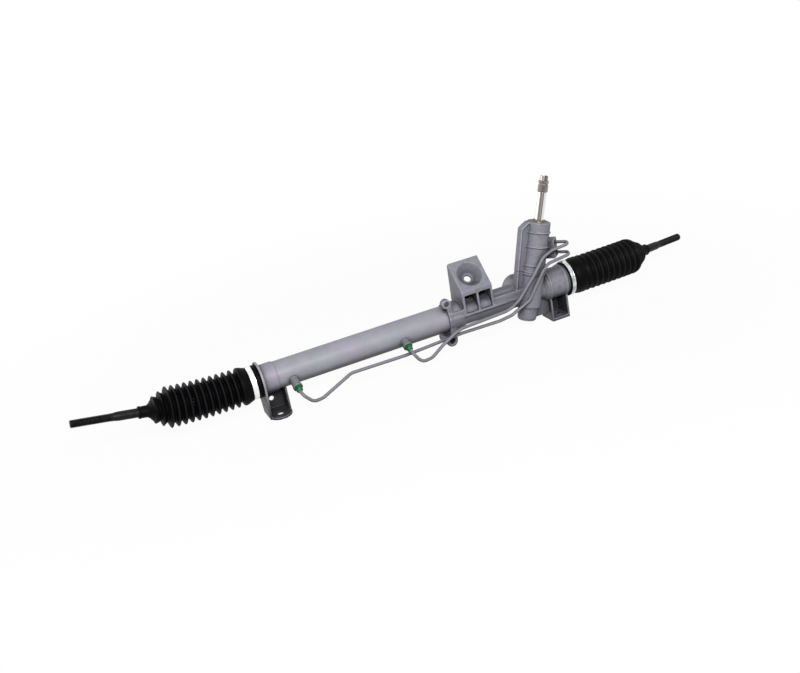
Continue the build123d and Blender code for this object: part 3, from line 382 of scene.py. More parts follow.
def silver_paint(name, colour, grain, depth, cast=False, edge_wear_and_highlight=0.0, shelter=(0.2, 0.95)):
    """Aluminium-coloured paint, mottled, with painted shade in inner corners, beside other pieces, deep
    inside bays and on undersides. A cast piece has pits, grime and painted shade on its upward faces. A dense
    mesh's edges are paler by a given share, partly rubbed and partly a painted highlight, and shelter is
    the range of openness over which the painted shade in bays goes from dark to clear."""
    n = Finish(name, Metallic=0.06, Specular_IOR_Level=0.16)
    base = n.layered(
        opaque(colour),
        (n.spots(28, 4, *NOISE_RANGE), opaque(colour, 0.88)),                # broad mottling
        (n.spots(41, 3, 0.45, 0.75, 0.7), tinted(colour, WARM)),             # bloom
        (n.spots(33, 3, 0.5, 0.8, 0.7), tinted(colour, COOL)),
        (n.spots(2.2, 2, 0.5, 0.75, 0.5), opaque(colour, 0.72)),             # dark grain
        (n.spots(0.6, 1, 0.5, 0.75, 0.6), opaque(colour, 1.22)),             # bright flakes
        (n.times(n.hollows(0.42, 0.49), 0.75), opaque(colour, 0.3)))         # painted shade in inner corners
    if edge_wear_and_highlight:
        # paler edges: partly rubbed paint, partly a painted highlight
        base = n.layered(base, (n.times(n.edges(0.51, 0.55), edge_wear_and_highlight), opaque(colour, 1.5)))
    base = n.layered(
        base,
        (n.times(n.sheltered(9, 0.35, 0.95), 0.8), opaque(colour, 0.16)),    # painted shade beside other pieces
        (n.times(n.sheltered(60, *shelter), 0.97), opaque(colour, 0.06)),    # painted shade deep inside bays
        (n.times(n.facing(-0.1, -0.85), 0.8), opaque(colour, 0.2)))          # painted shade on undersides
    height = n.plus(n.noise(grain, 3, 0.6), n.times(n.noise(0.35, 1), 0.25))
    if cast:
        base = n.layered(
            base,
            (n.spots(8, 4, 0.48, 0.7, 0.45, roughness=0.65), opaque(colour, 0.45)),    # grime
            (n.times(n.facing(0.86, 0.97), 0.55), opaque(colour, 0.3)))                # painted shade on upward faces
        pits = n.spread(n.cells(3.1), 0.0, 0.16)
        height = n.plus(height, n.times(pits, 0.6))
    return n.finish(base, n.wander(9, 0.38, 0.52), height, depth)


def black_steel(name):
    """Black-coated steel with a faint grain and light rubbed spots."""
    n = Finish(name, Specular_IOR_Level=0.12)
    base = n.layered(
        opaque((0.006, 0.006, 0.007)),
        (n.spots(6, 4, 0.35, 0.7), opaque((0.014, 0.013, 0.015))),
        (n.spots(1.2, 3, 0.62, 0.8, 0.4), opaque((0.07, 0.066, 0.068))))     # rubbed
    return n.finish(base, n.wander(3, 0.32, 0.55), n.noise(0.7, 2), 0.05)


def machined_steel(name, colour, smoothest, roughest, along):
    """Machined steel with its tool marks stretched along one axis."""
    n = Finish(name, Metallic=1.0)
    marks = n.noise(1.0, 4, 0.7, n.stretched(along))
    base = n.layered(
        opaque(colour),
        (n.spread(marks, *NOISE_RANGE), opaque(colour, 0.78)),
        (n.spots(7, 3, 0.58, 0.75, 0.35), opaque(colour, 0.55)))             # stains
    return n.finish(base, n.spread(marks, *NOISE_RANGE, smoothest, roughest), marks, 0.02)


def ground_shaft(name):
    """Ground steel with fine marks and long dark streaks of painted reflection along the pinion axis. A piece
    that is marked as cut is darker and browner."""
    n = Finish(name, Metallic=1.0)
    marks = n.noise(0.5, 3, 0.6)
    painted_reflection_streaks = n.noise(4.0, 0, 0.5, n.leaning((1.0, 1.0, 0.004)))
    ground = n.layered(
        opaque((0.8, 0.78, 0.77)),
        # painted reflection: dark streaks along the pinion axis
        (n.spread(painted_reflection_streaks, 0.42, 0.56), opaque((0.22, 0.19, 0.185))),
        (n.spread(marks, 0.6, 0.8, 0, 0.12), opaque((0.4, 0.36, 0.33))))
    worn = n.layered(
        opaque((0.17, 0.15, 0.135)),
        (n.spots(1.6, 3, *NOISE_RANGE), opaque((0.27, 0.245, 0.225))),
        (n.times(n.edges(0.52, 0.58), 0.3), opaque((0.42, 0.39, 0.37))))
    cut = n.marked("cut")
    rough = n.plus(n.spread(marks, *NOISE_RANGE, 0.12, 0.2), n.times(cut, 0.3))
    return n.finish(n.mix(cut, ground, worn), rough, marks, 0.012)


def zinc(name):
    """Bright zinc plate with faint drawn marks and a very weak green and yellow bloom. A piece that is marked
    for it gets painted shade: a greyer, darker zinc."""
    n = Finish(name, Metallic=0.85)
    bloom = n.noise(16, 2)
    marks = n.noise(0.8, 3, 0.6, n.stretched((1.0, 0.1, 0.1)))
    shaded_zinc = n.mix(n.spread(bloom, 0.4, 0.62), opaque((0.25, 0.28, 0.3)), opaque((0.66, 0.7, 0.66)))
    base = n.layered(
        opaque((0.86, 0.88, 0.88)),
        (n.spread(bloom, 0.35, 0.5), opaque((0.93, 0.93, 0.91))),
        (n.spread(bloom, 0.52, 0.66, 0, 0.6), opaque((0.88, 0.87, 0.78))),   # yellow
        (n.spots(10, 2, 0.56, 0.74, 0.6), opaque((0.74, 0.84, 0.78))),       # green
        (n.spread(marks, 0.55, 0.8, 0, 0.25), opaque((0.6, 0.61, 0.6))),
        # greyer, darker copy of the zinc on the marked clamp: painted shade
        (n.times(n.marked("painted_shade"), 0.8), shaded_zinc))
    return n.finish(base, n.spread(marks, *NOISE_RANGE, 0.24, 0.36), marks, 0.01)


def nut_paint(name):
    """Green coat of the pipe nuts, paler where the spanner rubs."""
    n = Finish(name, Metallic=0.1, Specular_IOR_Level=0.3)
    base = n.layered(
        opaque((0.002, 0.2, 0.045)),
        (n.spots(2.5, 3, 0.35, 0.7), opaque((0.002, 0.12, 0.03))),
        (n.spots(0.7, 2, 0.62, 0.8, 0.5), opaque((0.01, 0.32, 0.09))))
    return n.finish(base, n.wander(1.5, 0.28, 0.45, detail=2), n.noise(0.6, 2), 0.04)


def rubber(name, colour, folded):
    """Moulded rubber. A folded piece is paler along its ridges, partly rubbed and partly a painted highlight,
    and has painted shade in its valleys.
    """
    n = Finish(name, Specular_IOR_Level=0.05)
    base = n.layered(opaque(colour), (n.spots(14, 4, 0.35, 0.7), opaque(colour, 0.7)))
    if folded:
        ridge = n.marked("ridge")
        ridge_rub_and_highlight = n.times(n.spread(ridge, 0.6, 1.0), n.spread(n.noise(5, 3), 0.2, 0.7, 0.5, 1.0))
        base = n.layered(
            base,
            # paler ridges: partly rubbed rubber, partly a painted highlight
            (n.times(ridge_rub_and_highlight, 0.9), opaque(colour, 6.5)),
            # painted shade in the valleys
            (n.spread(ridge, 0.4, 0.0, 0.0, 0.9), opaque(colour, 0.2)))
    height = n.plus(n.noise(0.5, 2), n.times(n.noise(5, 2), 1.5))
    return n.finish(base, n.wander(4, 0.42, 0.58), height, 0.06)


def turned_piece(name, colour, metallic, rough):
    """Turned inner piece with fine rings across X and a little oil."""
    n = Finish(name, Metallic=metallic)
    rings = n.noise(0.8, 3, 0.6, n.stretched((1.0, 0.15, 0.15)))
    base = n.layered(opaque(colour), (n.spread(rings, *NOISE_RANGE), opaque(colour, 0.8)))
    return n.finish(base, n.wander(5, rough, rough + 0.15), rings, 0.03)


MATERIALS = {
    "housing_paint": silver_paint("housing_paint", HOUSING_GREY, grain=0.9, depth=0.16, cast=True, edge_wear_and_highlight=0.75),
    "tube_paint": silver_paint("tube_paint", TUBE_GREY, grain=1.6, depth=0.05),
    "bracket_paint": silver_paint("bracket_paint", BRACKET_GREY, grain=1.3, depth=0.07, edge_wear_and_highlight=0.5,
                                  shelter=(0.55, 1.0)),
    "pipe_paint": silver_paint("pipe_paint", PIPE_GREY, grain=1.1, depth=0.05),
    "black_rod": black_steel("black_rod"),
    "bright_steel": ground_shaft("bright_steel"),
    "hard_steel": machined_steel("hard_steel", (0.42, 0.42, 0.44), smoothest=0.22, roughest=0.38,
                                 along=(0.15, 1.0, 1.0)),
    "zinc_band": zinc("zinc_band"),
    "green_nut": nut_paint("green_nut"),
    "boot_rubber": rubber("boot_rubber", (0.0022, 0.0022, 0.0026), folded=True),
    "seal_rubber": rubber("seal_rubber", (0.03, 0.028, 0.025), folded=False),
    "bearing_bronze": turned_piece("bearing_bronze", (0.17, 0.155, 0.1), metallic=1.0, rough=0.42),
    "seat_plastic": turned_piece("seat_plastic", (0.62, 0.6, 0.5), metallic=0.0, rough=0.45),
    "bare_aluminium": turned_piece("bare_aluminium", (0.56, 0.56, 0.58), metallic=1.0, rough=0.3),
}


# ---------------------------------------------------------------- tie rods

# Stations along a tie rod are measured from its ball's centre.
ROD_LENGTH = 200.0
ROD_RADIUS = 8.0
ROD_NECK = 6.5
ROD_TIP = 0.6                 # radius at which the end face's points stop
ROD_AROUND = 48
BALL_RADIUS = 13.0
BALL_STEPS = 30
GROOVE_END = 130.4            # where the relief behind the thread starts to rise
GROOVE_RADIUS = 6.7
GROOVE_RISE = 0.3
GROOVE_RAMP = 1.6
THREAD_START = 132.0
THREAD_FADE = 3.0
THREAD_LEAD_IN = 1.5          # length of the chamfer at the end
THREAD_LEAD_SLOPE = 0.9
THREAD_PITCH = 1.5
THREAD_RADIUS = 7.0
THREAD_DEPTH = 0.92
THREAD_STEPS = 12             # rows of points in one pitch
CREST_EDGE = 0.88             # where the flank starts, from 0 in the middle of the root to 1 on the crest
FLANK = 0.66                  # length of the flank in the same measure


def thread_depth(phase):
    """Depth share of an ISO thread at a phase of its pitch: flat crest, straight flanks, flat root."""
    from_root = abs((phase % 1.0) - 0.5) * 2
    return min(1.0, max(0.0, (CREST_EDGE - from_root) / FLANK))


def thread_radius(x, share):
    """Radius of the threaded end at a station, this share of the way round."""
    fade = min(1.0, max(0.0, (x - THREAD_START) / THREAD_FADE))
    lead_in = max(0.0, x - ROD_LENGTH + THREAD_LEAD_IN)
    depth = THREAD_DEPTH * fade * thread_depth(x / THREAD_PITCH - share)
    radius = min(THREAD_RADIUS - depth, THREAD_RADIUS - THREAD_LEAD_SLOPE * lead_in)
    if x > THREAD_START:
        return radius
    return min(radius, GROOVE_RADIUS + GROOVE_RISE * max(0.0, (x - GROOVE_END) / GROOVE_RAMP))


def make_tie_rod(name, place, body):
    """Ball, neck, forged shank, and a cut thread that fades into the shank."""
    ball_end = sqrt(BALL_RADIUS ** 2 - ROD_NECK ** 2)
    outline = [(-BALL_RADIUS * cos(a), BALL_RADIUS * sin(a))
               for a in np.linspace(0, pi - atan2(ROD_NECK, ball_end), BALL_STEPS)]
    outline += [(22.0, ROD_NECK), (26.0, 7.4), (30.0, ROD_RADIUS), (118.0, ROD_RADIUS), (124.0, 7.7),
                (129.0, 7.0), (GROOVE_END, GROOVE_RADIUS)]
    points = [p for x, radius in outline for p in circle(x, radius, ROD_AROUND)]
    thread_rows = int((ROD_LENGTH - GROOVE_END) / THREAD_PITCH * THREAD_STEPS)
    for row in range(1, thread_rows + 1):
        x = GROOVE_END + THREAD_PITCH * row / THREAD_STEPS
        for k, a in enumerate(angles(ROD_AROUND)):
            radius = thread_radius(x, k / ROD_AROUND)
            points.append((x, radius * cos(a), radius * sin(a)))
    points += circle(ROD_LENGTH, ROD_TIP, ROD_AROUND)
    faces = grid_faces(len(points) // ROD_AROUND, ROD_AROUND)
    faces.append(tuple(range(len(points) - ROD_AROUND, len(points))))
    rod = piece(name + "_shown", points, faces, place)
    clean(rod, SAME_POINT)
    dress(rod, body, "black_rod", [name])


# ---------------------------------------------------------------- boots

BOOT_WALL = 2.0
CUFF_WALL = 3.5
COLLAR_GAP = 0.25             # between the tie rod and the boot
SMALL_END = 73.0              # where the boot meets the rod, from the ball
LINE_STEPS = 160
FOLD_STEPS = 14               # rows of points in one fold
SKIN_STEP = 0.8               # distance between rows of points elsewhere
NO_RIDGE = 0.5                # a point's ridge value goes from 0 in a valley to 1 on a ridge
SAME_STATION = 0.05           # stations nearer than this are one


def rounded_step(x):
    return x * x * (3 - 2 * x)


class Boot:
    """A bellows round a curve that leaves the housing straight and meets the rod square. Its stations are
    distances along that curve from the end of the cuff's seat."""

    def __init__(self, name, joint, cuff_end, seat, profile):
        self.name, self.seat, self.profile = name, seat, profile
        ball_x, self.side = joint[:2]
        rod = aim(*joint)
        self.start = Vector((cuff_end, 0, RACK_HEIGHT))
        self.tip = rod @ Vector((SMALL_END, 0, 0))
        self.heading = (rod.to_3x3() @ Vector((1, 0, 0))).normalized()
        ball = Vector((ball_x, 0, RACK_HEIGHT))
        shares = [k / LINE_STEPS for k in range(LINE_STEPS + 1)]
        line = [(1 - t) ** 2 * self.start + 2 * t * (1 - t) * ball + t * t * self.tip for t in shares]
        steps = [(b - a).length for a, b in zip(line, line[1:])]
        self.along = np.concatenate([[0], np.cumsum(steps)])
        self.line = np.array([tuple(p) for p in line])
        self.length = self.along[-1]

    def centre(self, s):
        """Point on the centre line at a station."""
        if s < 0:
            return self.start + Vector((self.side * s, 0, 0))
        if s > self.length:
            return self.tip + self.heading * (s - self.length)
        return Vector([float(np.interp(s, self.along, self.line[:, k])) for k in range(3)])

    def ring(self, s, radius):
        ahead = self.centre(s + 0.5) - self.centre(s - 0.5)
        ahead.normalize()
        across = Vector((0, 0, 1)).cross(ahead).normalized()
        up = ahead.cross(across)
        middle = self.centre(s)
        return [middle + radius * (cos(a) * across + sin(a) * up) for a in angles(AROUND)]

    def inside(self, s, radius):
        """Inside radius: a cuff that fits its seat, a thin wall, a collar that fits the rod."""
        if s < 0:
            return self.seat
        if s > self.length:
            return ROD_RADIUS + COLLAR_GAP
        return max(radius - BOOT_WALL, ROD_RADIUS + COLLAR_GAP)

    def section(self, suffix, low, high):
        """The skin between two stations, closed at both ends."""
        outside = [p for p in self.profile if low - 1e-6 <= p[0] <= high + 1e-6]
        inside = [(s, self.inside(s, radius), 0.0) for s, radius, ridge in reversed(outside)]
        points, ridges = [], []
        for s, radius, ridge in outside + inside:
            points += self.ring(s, radius)
            ridges += [ridge] * AROUND
        faces = grid_faces(len(points) // AROUND, AROUND, wrap_rows=True)
        obj = piece(f"{self.name}_{suffix}", points, faces)
        mark_points(obj, "ridge", ridges)
        shade(obj, SMOOTH_SOFT)
        return obj


def folds(first, pitch, count, peak, valley, growth, sharp):
    """(station, radius, ridge) points of a row of folds whose first peak is at first and whose last is wider
    by its growth. The sharper the folds, the narrower their peaks."""
    points = []
    for k in range((count - 1) * FOLD_STEPS + 1):
        phase = k / FOLD_STEPS
        height = (0.5 + 0.5 * cos(2 * pi * phase)) ** sharp
        wider = growth * phase / (count - 1)
        points.append((first + phase * pitch, valley + wider + (peak - valley) * height, height))
    return points


def spline(points):
    """(station, radius, ridge) points of a smooth curve through (station, radius) points, which doesn't
    overshoot."""
    result = []
    for (s0, r0), (s1, r1) in zip(points, points[1:]):
        count = max(2, int(abs(s1 - s0) / SKIN_STEP), int(abs(r1 - r0) / SKIN_STEP))
        for k in range(count):
            t = k / count
            result.append((s0 + (s1 - s0) * t, r0 + (r1 - r0) * rounded_step(t), NO_RIDGE))
    result.append((*points[-1], NO_RIDGE))
    return result


def unite(*pieces):
    """One profile from several, without repeated stations."""
    result = []
    for points in pieces:
        for point in points:
            if not result or point[0] > result[-1][0] + SAME_STATION:
                result.append(point)
    return result


def left_profile():
    """Cuff with a bead, shoulder, twelve sharp folds that widen outwards, and a cone of two folds."""
    first, pitch, count = 15.0, 11.66, 12
    last = first + pitch * (count - 1)
    cuff = [(-18.4, 29.0), (-17.4, 30.1), (-11.6, 30.1), (-10.6, 28.55)]
    shoulder = [(-0.6, 28.55), (0.0, 30.0), (4.0, 31.4), (9.0, 33.4), (first - 1.5, 34.2), (first, 34.0)]
    cone = [(last, 36.2), (last + 6.2, 25.4), (last + 9.3, 27.2), (last + 12.6, 30.2), (last + 16.6, 20.8),
            (last + 21.5, 22.6), (last + 24.6, 23.6), (last + 28.4, 17.4), (last + 33.0, 12.6),
            (179.4, 10.4), (190.0, 10.2), (192.2, 11.2), (194.4, 10.2)]
    bellows = folds(first, pitch, count, peak=34.0, valley=26.2, growth=2.2, sharp=1.15)
    return unite(spline(cuff), spline(shoulder), bellows, spline(cone))


def right_profile():
    """Long smooth cuff, ten shallow folds, and a cone of two small folds."""
    first, pitch, count = 9.6, 12.6, 10
    last = first + pitch * (count - 1)
    cuff = [(-33.0, 32.3), (-32.0, 32.6), (-23.5, 32.6)]
    shoulder = [(-17.5, 33.0), (-13.5, 34.2), (-10.0, 35.0), (0.0, 35.2), (3.3, 32.4), (first, 35.0)]
    cone = [(last, 35.0), (last + 4.0, 34.4), (last + 7.5, 26.5), (last + 9.5, 25.2), (last + 13.0, 28.2),
            (last + 16.5, 27.2), (last + 18.7, 21.6), (last + 20.2, 20.8), (last + 23.5, 23.6),
            (last + 27.0, 22.4), (last + 30.5, 14.8), (last + 35.0, 12.6),
            (165.2, 10.8), (176.0, 10.2), (178.0, 11.2), (180.0, 10.2)]
    bellows = folds(first, pitch, count, peak=35.0, valley=30.8, growth=0.0, sharp=1.5)
    return unite(spline(cuff), spline(shoulder), bellows, spline(cone))


def make_boot(side, joint, cuff_end, seat, profile, seams):
    """A boot in three pieces that meet in its folds at two seams."""
    boot = Boot(f"boot_{side}", joint, cuff_end, seat, profile)
    low, high = seams
    body = boot.section("body", profile[0][0], low)
    swing = boot.section("swing", low, high)
    cone = boot.section("cone", high, profile[-1][0])
    dress(body, None, "boot_rubber", [f"boot_{side}"])
    dress(swing, None, "boot_rubber")
    dress(cone, None, "boot_rubber")
    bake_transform(body)
    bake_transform(swing)
    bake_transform(cone)


# ---------------------------------------------------------------- clamps

BAND_INSIDE = 0.1             # radii of the band over the boot's cuff
BAND_OUTSIDE = 1.2
RIM_RISE = 0.3
RIM_WIDTH = 0.8
CRIMP_RADIUS = 0.9            # of the bends in the ear
SHEET_EDGE = 0.2              # of the bevel along a strip's edges
EAR_THICKNESS = 0.9
EAR_INSET = 0.5               # how much narrower than the band the ear is on each side
EAR = [(-7.0, 0.1), (-4.4, 0.5), (-3.6, 2.2), (-1.8, 2.6), (0.0, 1.5), (1.8, 2.6), (3.6, 2.2), (4.4, 0.5),
       (7.0, 0.1)]            # (distance round the band from its top, height over the band)
LAP_THICKNESS = 0.8
LAP_INSET = 0.9
LAP = [(y, 0.45) for y in range(6, 24, 2)]


def make_clamp(name, middle, seat, width, painted_shade):
    """Smooth steel band with turned-up edges, its end lapped behind a small crimped ear."""
    cuff = seat + CUFF_WALL
    inner, outer, half = cuff + BAND_INSIDE, cuff + BAND_OUTSIDE, width / 2
    place = RACK @ shift(middle, 0, 0)
    band = lathe(name + "_band", [
        (-half, inner), (-half, outer + RIM_RISE), (-half + RIM_WIDTH, outer), (half - RIM_WIDTH, outer),
        (half, outer + RIM_RISE), (half, inner)], place, closed=True, edge=0.25)
    ear = strip(name + "_ear", [bent(outer, *p) for p in EAR], EAR_THICKNESS, half - EAR_INSET, place)
    lap = strip(name + "_lap", [bent(outer, *p) for p in LAP], LAP_THICKNESS, half - LAP_INSET, place)
    clamp = join(name + "_shown", band, ear, lap)
    # the marked clamp gets painted shade: a greyer, darker zinc
    mark(clamp, "painted_shade", painted_shade)
    dress(clamp, "housing", "zinc_band", [name])


def bent(radius, along, rise):
    """(y, z) of a point this far round a band from its top and this much above it."""
    angle = along / radius
    return (radius + rise) * sin(angle), (radius + rise) * cos(angle)


def strip(name, section, thickness, half, place):
    """A bent strip across X whose middle line is given as (y, z) points."""
    line = [Vector((0, *p)) for p in rounded(section, CRIMP_RADIUS)]
    aside = Vector((half, 0, 0))
    points = []
    for i, spot in enumerate(line):
        ahead = line[min(i + 1, len(line) - 1)] - line[max(i - 1, 0)]
        normal = Vector((0, -ahead.z, ahead.y)).normalized() * thickness / 2
        points += [spot + normal - aside, spot + normal + aside, spot - normal + aside, spot - normal - aside]
    faces = grid_faces(len(line), 4)
    last = len(points) - 4
    faces += [(0, 1, 2, 3), (last + 3, last + 2, last + 1, last)]
    obj = piece(name, points, faces, place)
    bevel = obj.modifiers.new("edge", "BEVEL")
    bevel.width, bevel.segments = SHEET_EDGE * MM, 2
    bevel.limit_method, bevel.angle_limit = "ANGLE", radians(50)
    apply_modifiers(obj)
    shade(obj)
    return obj


# ---------------------------------------------------------------- input shaft

# Stations along the shaft are measured from the pinion's centre.
SHAFT_RADIUS = 8.2
BAR_AROUND = 40               # faces round the torsion bar's end
SPOOL_START = 49.0
SPOOL_END = 99.0
SPOOL_RADIUS = 11.0
BAR_RADIUS = 4.0              # the torsion bar inside
SPLINE_TEETH = 36
SPLINE_START = 193.5
SPLINE_END = 214.5
SPLINE_RADIUS = 9.5
TOOTH_DEPTH = 0.95
TOOTH_CHAMFER = 0.8
TOOTH_WAVE = (1.0, 0.86, 0.3, 0.0, 0.3, 0.86)     # height of a tooth on its way round
PINCH_START = 205.6
PINCH_END = 209.4
PINCH_RADIUS = 8.3
PINCH_SIDE = 0.6              # length of the groove's slanted sides
PINCH_TEETH = 0.15            # share of the teeth's depth that is left in the groove
PRONG_INSIDE = 4.3
PRONG_OUTSIDE = 7.3
PRONG_HALF = 0.92             # half of a prong's turn about the axis, in radians
PRONG_STEPS = 12
PRONG_END = 223.0
SEAL_START = 128.0
SEAL_STEP = 138.0             # where its outer rim ends and its lip rises
SEAL_END = 142.0
SEAL_RADIUS = 15.0
SEAL_BORE = 8.3
NUB = [(139.0, 0), (139.0, 1.1), (142.8, 0.95), (143.2, 0.5), (143.2, 0)]
NUBS = 8
NUB_AROUND = 12
NUB_CIRCLE = 9.9              # radius of the circle on which the nubs stand


def make_input_shaft():
    """Spool, ground shaft, rolled spline with its pinch groove and the two prongs at the tip."""
    shaft = lathe("shaft_core", [
        (SPOOL_START, BAR_RADIUS), (SPOOL_START, SPOOL_RADIUS), (SPOOL_END, SPOOL_RADIUS),
        (SPOOL_END + 1.5, SHAFT_RADIUS), (SPLINE_START - 0.6, SHAFT_RADIUS), (SPLINE_START, 7.9),
        (SPLINE_START, BAR_RADIUS)], PINION, closed=True, edge=0.35)
    teeth = make_spline()
    prongs = [prong(number) for number in (0, 1)]
    bar_low, bar_high = SPLINE_END - 3, SPLINE_END + 1.2
    bar_end = lathe("bar_end", [(bar_low, 0), (bar_low, BAR_RADIUS), (bar_high, BAR_RADIUS), (bar_high, 0)],
                    PINION, around=BAR_AROUND)
    mark(shaft, "cut", 0.0)
    mark(teeth, "cut", 1.0)
    for part in (bar_end, *prongs):
        mark(part, "cut", 0.6)
    obj = join("input_shaft_shown", shaft, teeth, bar_end, *prongs)
    shade(obj, SMOOTH_FINE)
    dress(obj, "input", "bright_steel", ["input_shaft"])


def make_spline():
    """Rolled teeth with chamfered ends, cut through by the groove of the pinch bolt."""
    stations = [     # x, share of a tooth's depth, radius
        (SPLINE_START, 0.0, 8.3), (SPLINE_START + 0.2, 0.0, 8.5), (SPLINE_START + 1.2, 1.0, SPLINE_RADIUS),
        (PINCH_START, 1.0, SPLINE_RADIUS), (PINCH_START + PINCH_SIDE, PINCH_TEETH, PINCH_RADIUS),
        (PINCH_END - PINCH_SIDE, PINCH_TEETH, PINCH_RADIUS), (PINCH_END, 1.0, SPLINE_RADIUS),
        (SPLINE_END - TOOTH_CHAMFER, 1.0, SPLINE_RADIUS), (SPLINE_END, 0.3, 8.4), (SPLINE_END, 0.0, 7.4)]
    around = SPLINE_TEETH * len(TOOTH_WAVE)
    points = []
    for x, share, radius in stations:
        for k, a in enumerate(angles(around)):
            r = radius - TOOTH_DEPTH * share * (1 - TOOTH_WAVE[k % len(TOOTH_WAVE)])
            points.append((x, r * cos(a), r * sin(a)))
    faces = grid_faces(len(stations), around)
    faces += [tuple(range(around)), tuple(range(len(points) - around, len(points)))]
    return piece("shaft_teeth", points, faces, PINION)


def prong(number):
    """One of two curved prongs left by the slot across the tip."""
    middle = pi * number
    section = [(PRONG_OUTSIDE * cos(a + middle), PRONG_OUTSIDE * sin(a + middle))
               for a in np.linspace(-PRONG_HALF, PRONG_HALF, PRONG_STEPS)]
    section += [(PRONG_INSIDE * cos(a + middle), PRONG_INSIDE * sin(a + middle))
                for a in np.linspace(PRONG_HALF, -PRONG_HALF, PRONG_STEPS)]
    rows = ((SPLINE_END - 0.5, 1.0), (PRONG_END - 0.7, 1.0), (PRONG_END, 0.93))
    points = [(x, y * size, z * size) for x, size in rows for z, y in section]
    faces = grid_faces(len(rows), len(section))
    faces += [tuple(range(len(section))), tuple(range(len(points) - len(section), len(points)))]
    return piece(f"prong_{number}", points, faces, PINION)


def make_input_seal():
    """Seal whose lip stands round the shaft, with a ring of small bosses over it."""
    seal = lathe("seal_ring", [
        (SEAL_START, SEAL_BORE), (SEAL_START, SEAL_RADIUS), (SEAL_STEP, SEAL_RADIUS), (SEAL_STEP, 11.2),
        (139.6, 10.9), (141.2, 9.6), (SEAL_END, 9.2), (SEAL_END, SEAL_BORE)], PINION, closed=True, edge=0.3)
    nubs = []
    for k in range(NUBS):
        place = PINION @ Matrix.Rotation(2 * pi * (k + 0.5) / NUBS, 4, "X") @ shift(0, NUB_CIRCLE, 0)
        nubs.append(lathe(f"nub_{k}", NUB, place, NUB_AROUND, edge=0.2))
    obj = join("input_seal_shown", seal, *nubs)
    dress(obj, "housing", "bearing_bronze", ["input_seal"])


# ---------------------------------------------------------------- castings and carried-over nodes

CASTINGS = (     # node, cell in mm, rounds of relaxing, most triangles, slot
    ("gear_housing", 1.1, 3, 170000, "housing_paint"),
    ("valve_housing", 0.9, 3, 100000, "housing_paint"),
    ("left_bracket", 0.8, 3, 80000, "bracket_paint"),
    ("port_boss_left", 0.5, 4, 20000, "pipe_paint"),
    ("port_boss_right", 0.5, 4, 20000, "pipe_paint"),
)


def cast(node, cell, rounds, most_faces, slot):
    """The CAD node's own form with cast fillets: closed up into fine cells, relaxed, then thinned out."""
    obj = new_object(node + "_shown", frame["nodes"][node].data.copy())
    clean(obj, CAD_SAME_POINT)
    remesh = obj.modifiers.new("cells", "REMESH")
    remesh.mode, remesh.voxel_size = "VOXEL", cell * MM
    relax = obj.modifiers.new("relax", "SMOOTH")
    relax.factor, relax.iterations = 0.5, rounds
    apply_modifiers(obj)
    triangles = 2 * len(obj.data.polygons)
    if triangles > most_faces:
        obj.modifiers.new("thin", "DECIMATE").ratio = most_faces / triangles
        apply_modifiers(obj)
    shade(obj, SMOOTH_SOFT)
    dress(obj, "housing", slot, [node])


def paint_nodes():
    """Carried-over CAD nodes get their slot's finish and smooth shading."""
    slots = {s["node"]: s["material_slot"] for s in frame["record"]["subparts"]}
    by_angle = make_by_angle()
    for name, obj in frame["nodes"].items():
        paint(obj, slots[name])
        smooth_faces(obj.data)
        obj.modifiers.new("weld", "WELD").merge_threshold = SAME_POINT
        obj.modifiers.new("by_angle", "NODES").node_group = by_angle


def make_by_angle():
    """Geometry nodes that smooth the edges up to an angle, for a mesh that is only welded by a modifier."""
    group = bpy.data.node_groups.new("by_angle", "GeometryNodeTree")
    for way in ("INPUT", "OUTPUT"):
        group.interface.new_socket("Geometry", in_out=way, socket_type="NodeSocketGeometry")
    start, end = group.nodes.new("NodeGroupInput"), group.nodes.new("NodeGroupOutput")
    edge = group.nodes.new("GeometryNodeInputMeshEdgeAngle")
    compare = group.nodes.new("FunctionNodeCompare")
    compare.data_type, compare.operation = "FLOAT", "LESS_THAN"
    compare.inputs[1].default_value = SMOOTH
    smooth = group.nodes.new("GeometryNodeSetShadeSmooth")
    smooth.domain = "EDGE"
    for source, target in ((edge.outputs["Unsigned Angle"], compare.inputs[0]),
                           (start.outputs[0], smooth.inputs["Geometry"]),
                           (compare.outputs["Result"], smooth.inputs["Shade Smooth"]),
                           (smooth.outputs["Geometry"], end.inputs[0])):
        group.links.new(source, target)
    return group


# ---------------------------------------------------------------- studio

CAMERA_PLACE = (-0.9251, -1.7464, 0.8419)
CAMERA_RIGHT = (0.904, -0.390, -0.175)
CAMERA_UP = (0.304, 0.298, 0.905)
CAMERA_SENSOR = 36.0          # sensor width and focal length in millimetres
CAMERA_LENS = 49.5

LAMPS = (     # name, place, size, power in watts
    ("key", (-0.85, -2.2, 1.6), (1.3, 0.7), 80),
    ("fill", (1.7, -1.3, 1.2), (0.8, 1.2), 5),
    ("back", (-2.6, 2.2, 1.0), (2.8, 1.6), 45),
)
LAMP_TARGET = (-0.3, 0, 0.1)

FLOOR_PLACE = (-0.3, 0, -0.0005)
FLOOR_HALF = 30.0
FLOOR_SEEN = 0.9              # how pale the floor's own surface is where it is seen, and where it only lights
FLOOR_UNSEEN = 0.06
SHADOW_NEAR = 0.5             # the floor's shadow fades out between these distances from the middle
SHADOW_FAR = 1.1
WHITE_NEAR = 0.95             # share of plain white in the floor near the middle
WORLD_LIGHT = 0.05


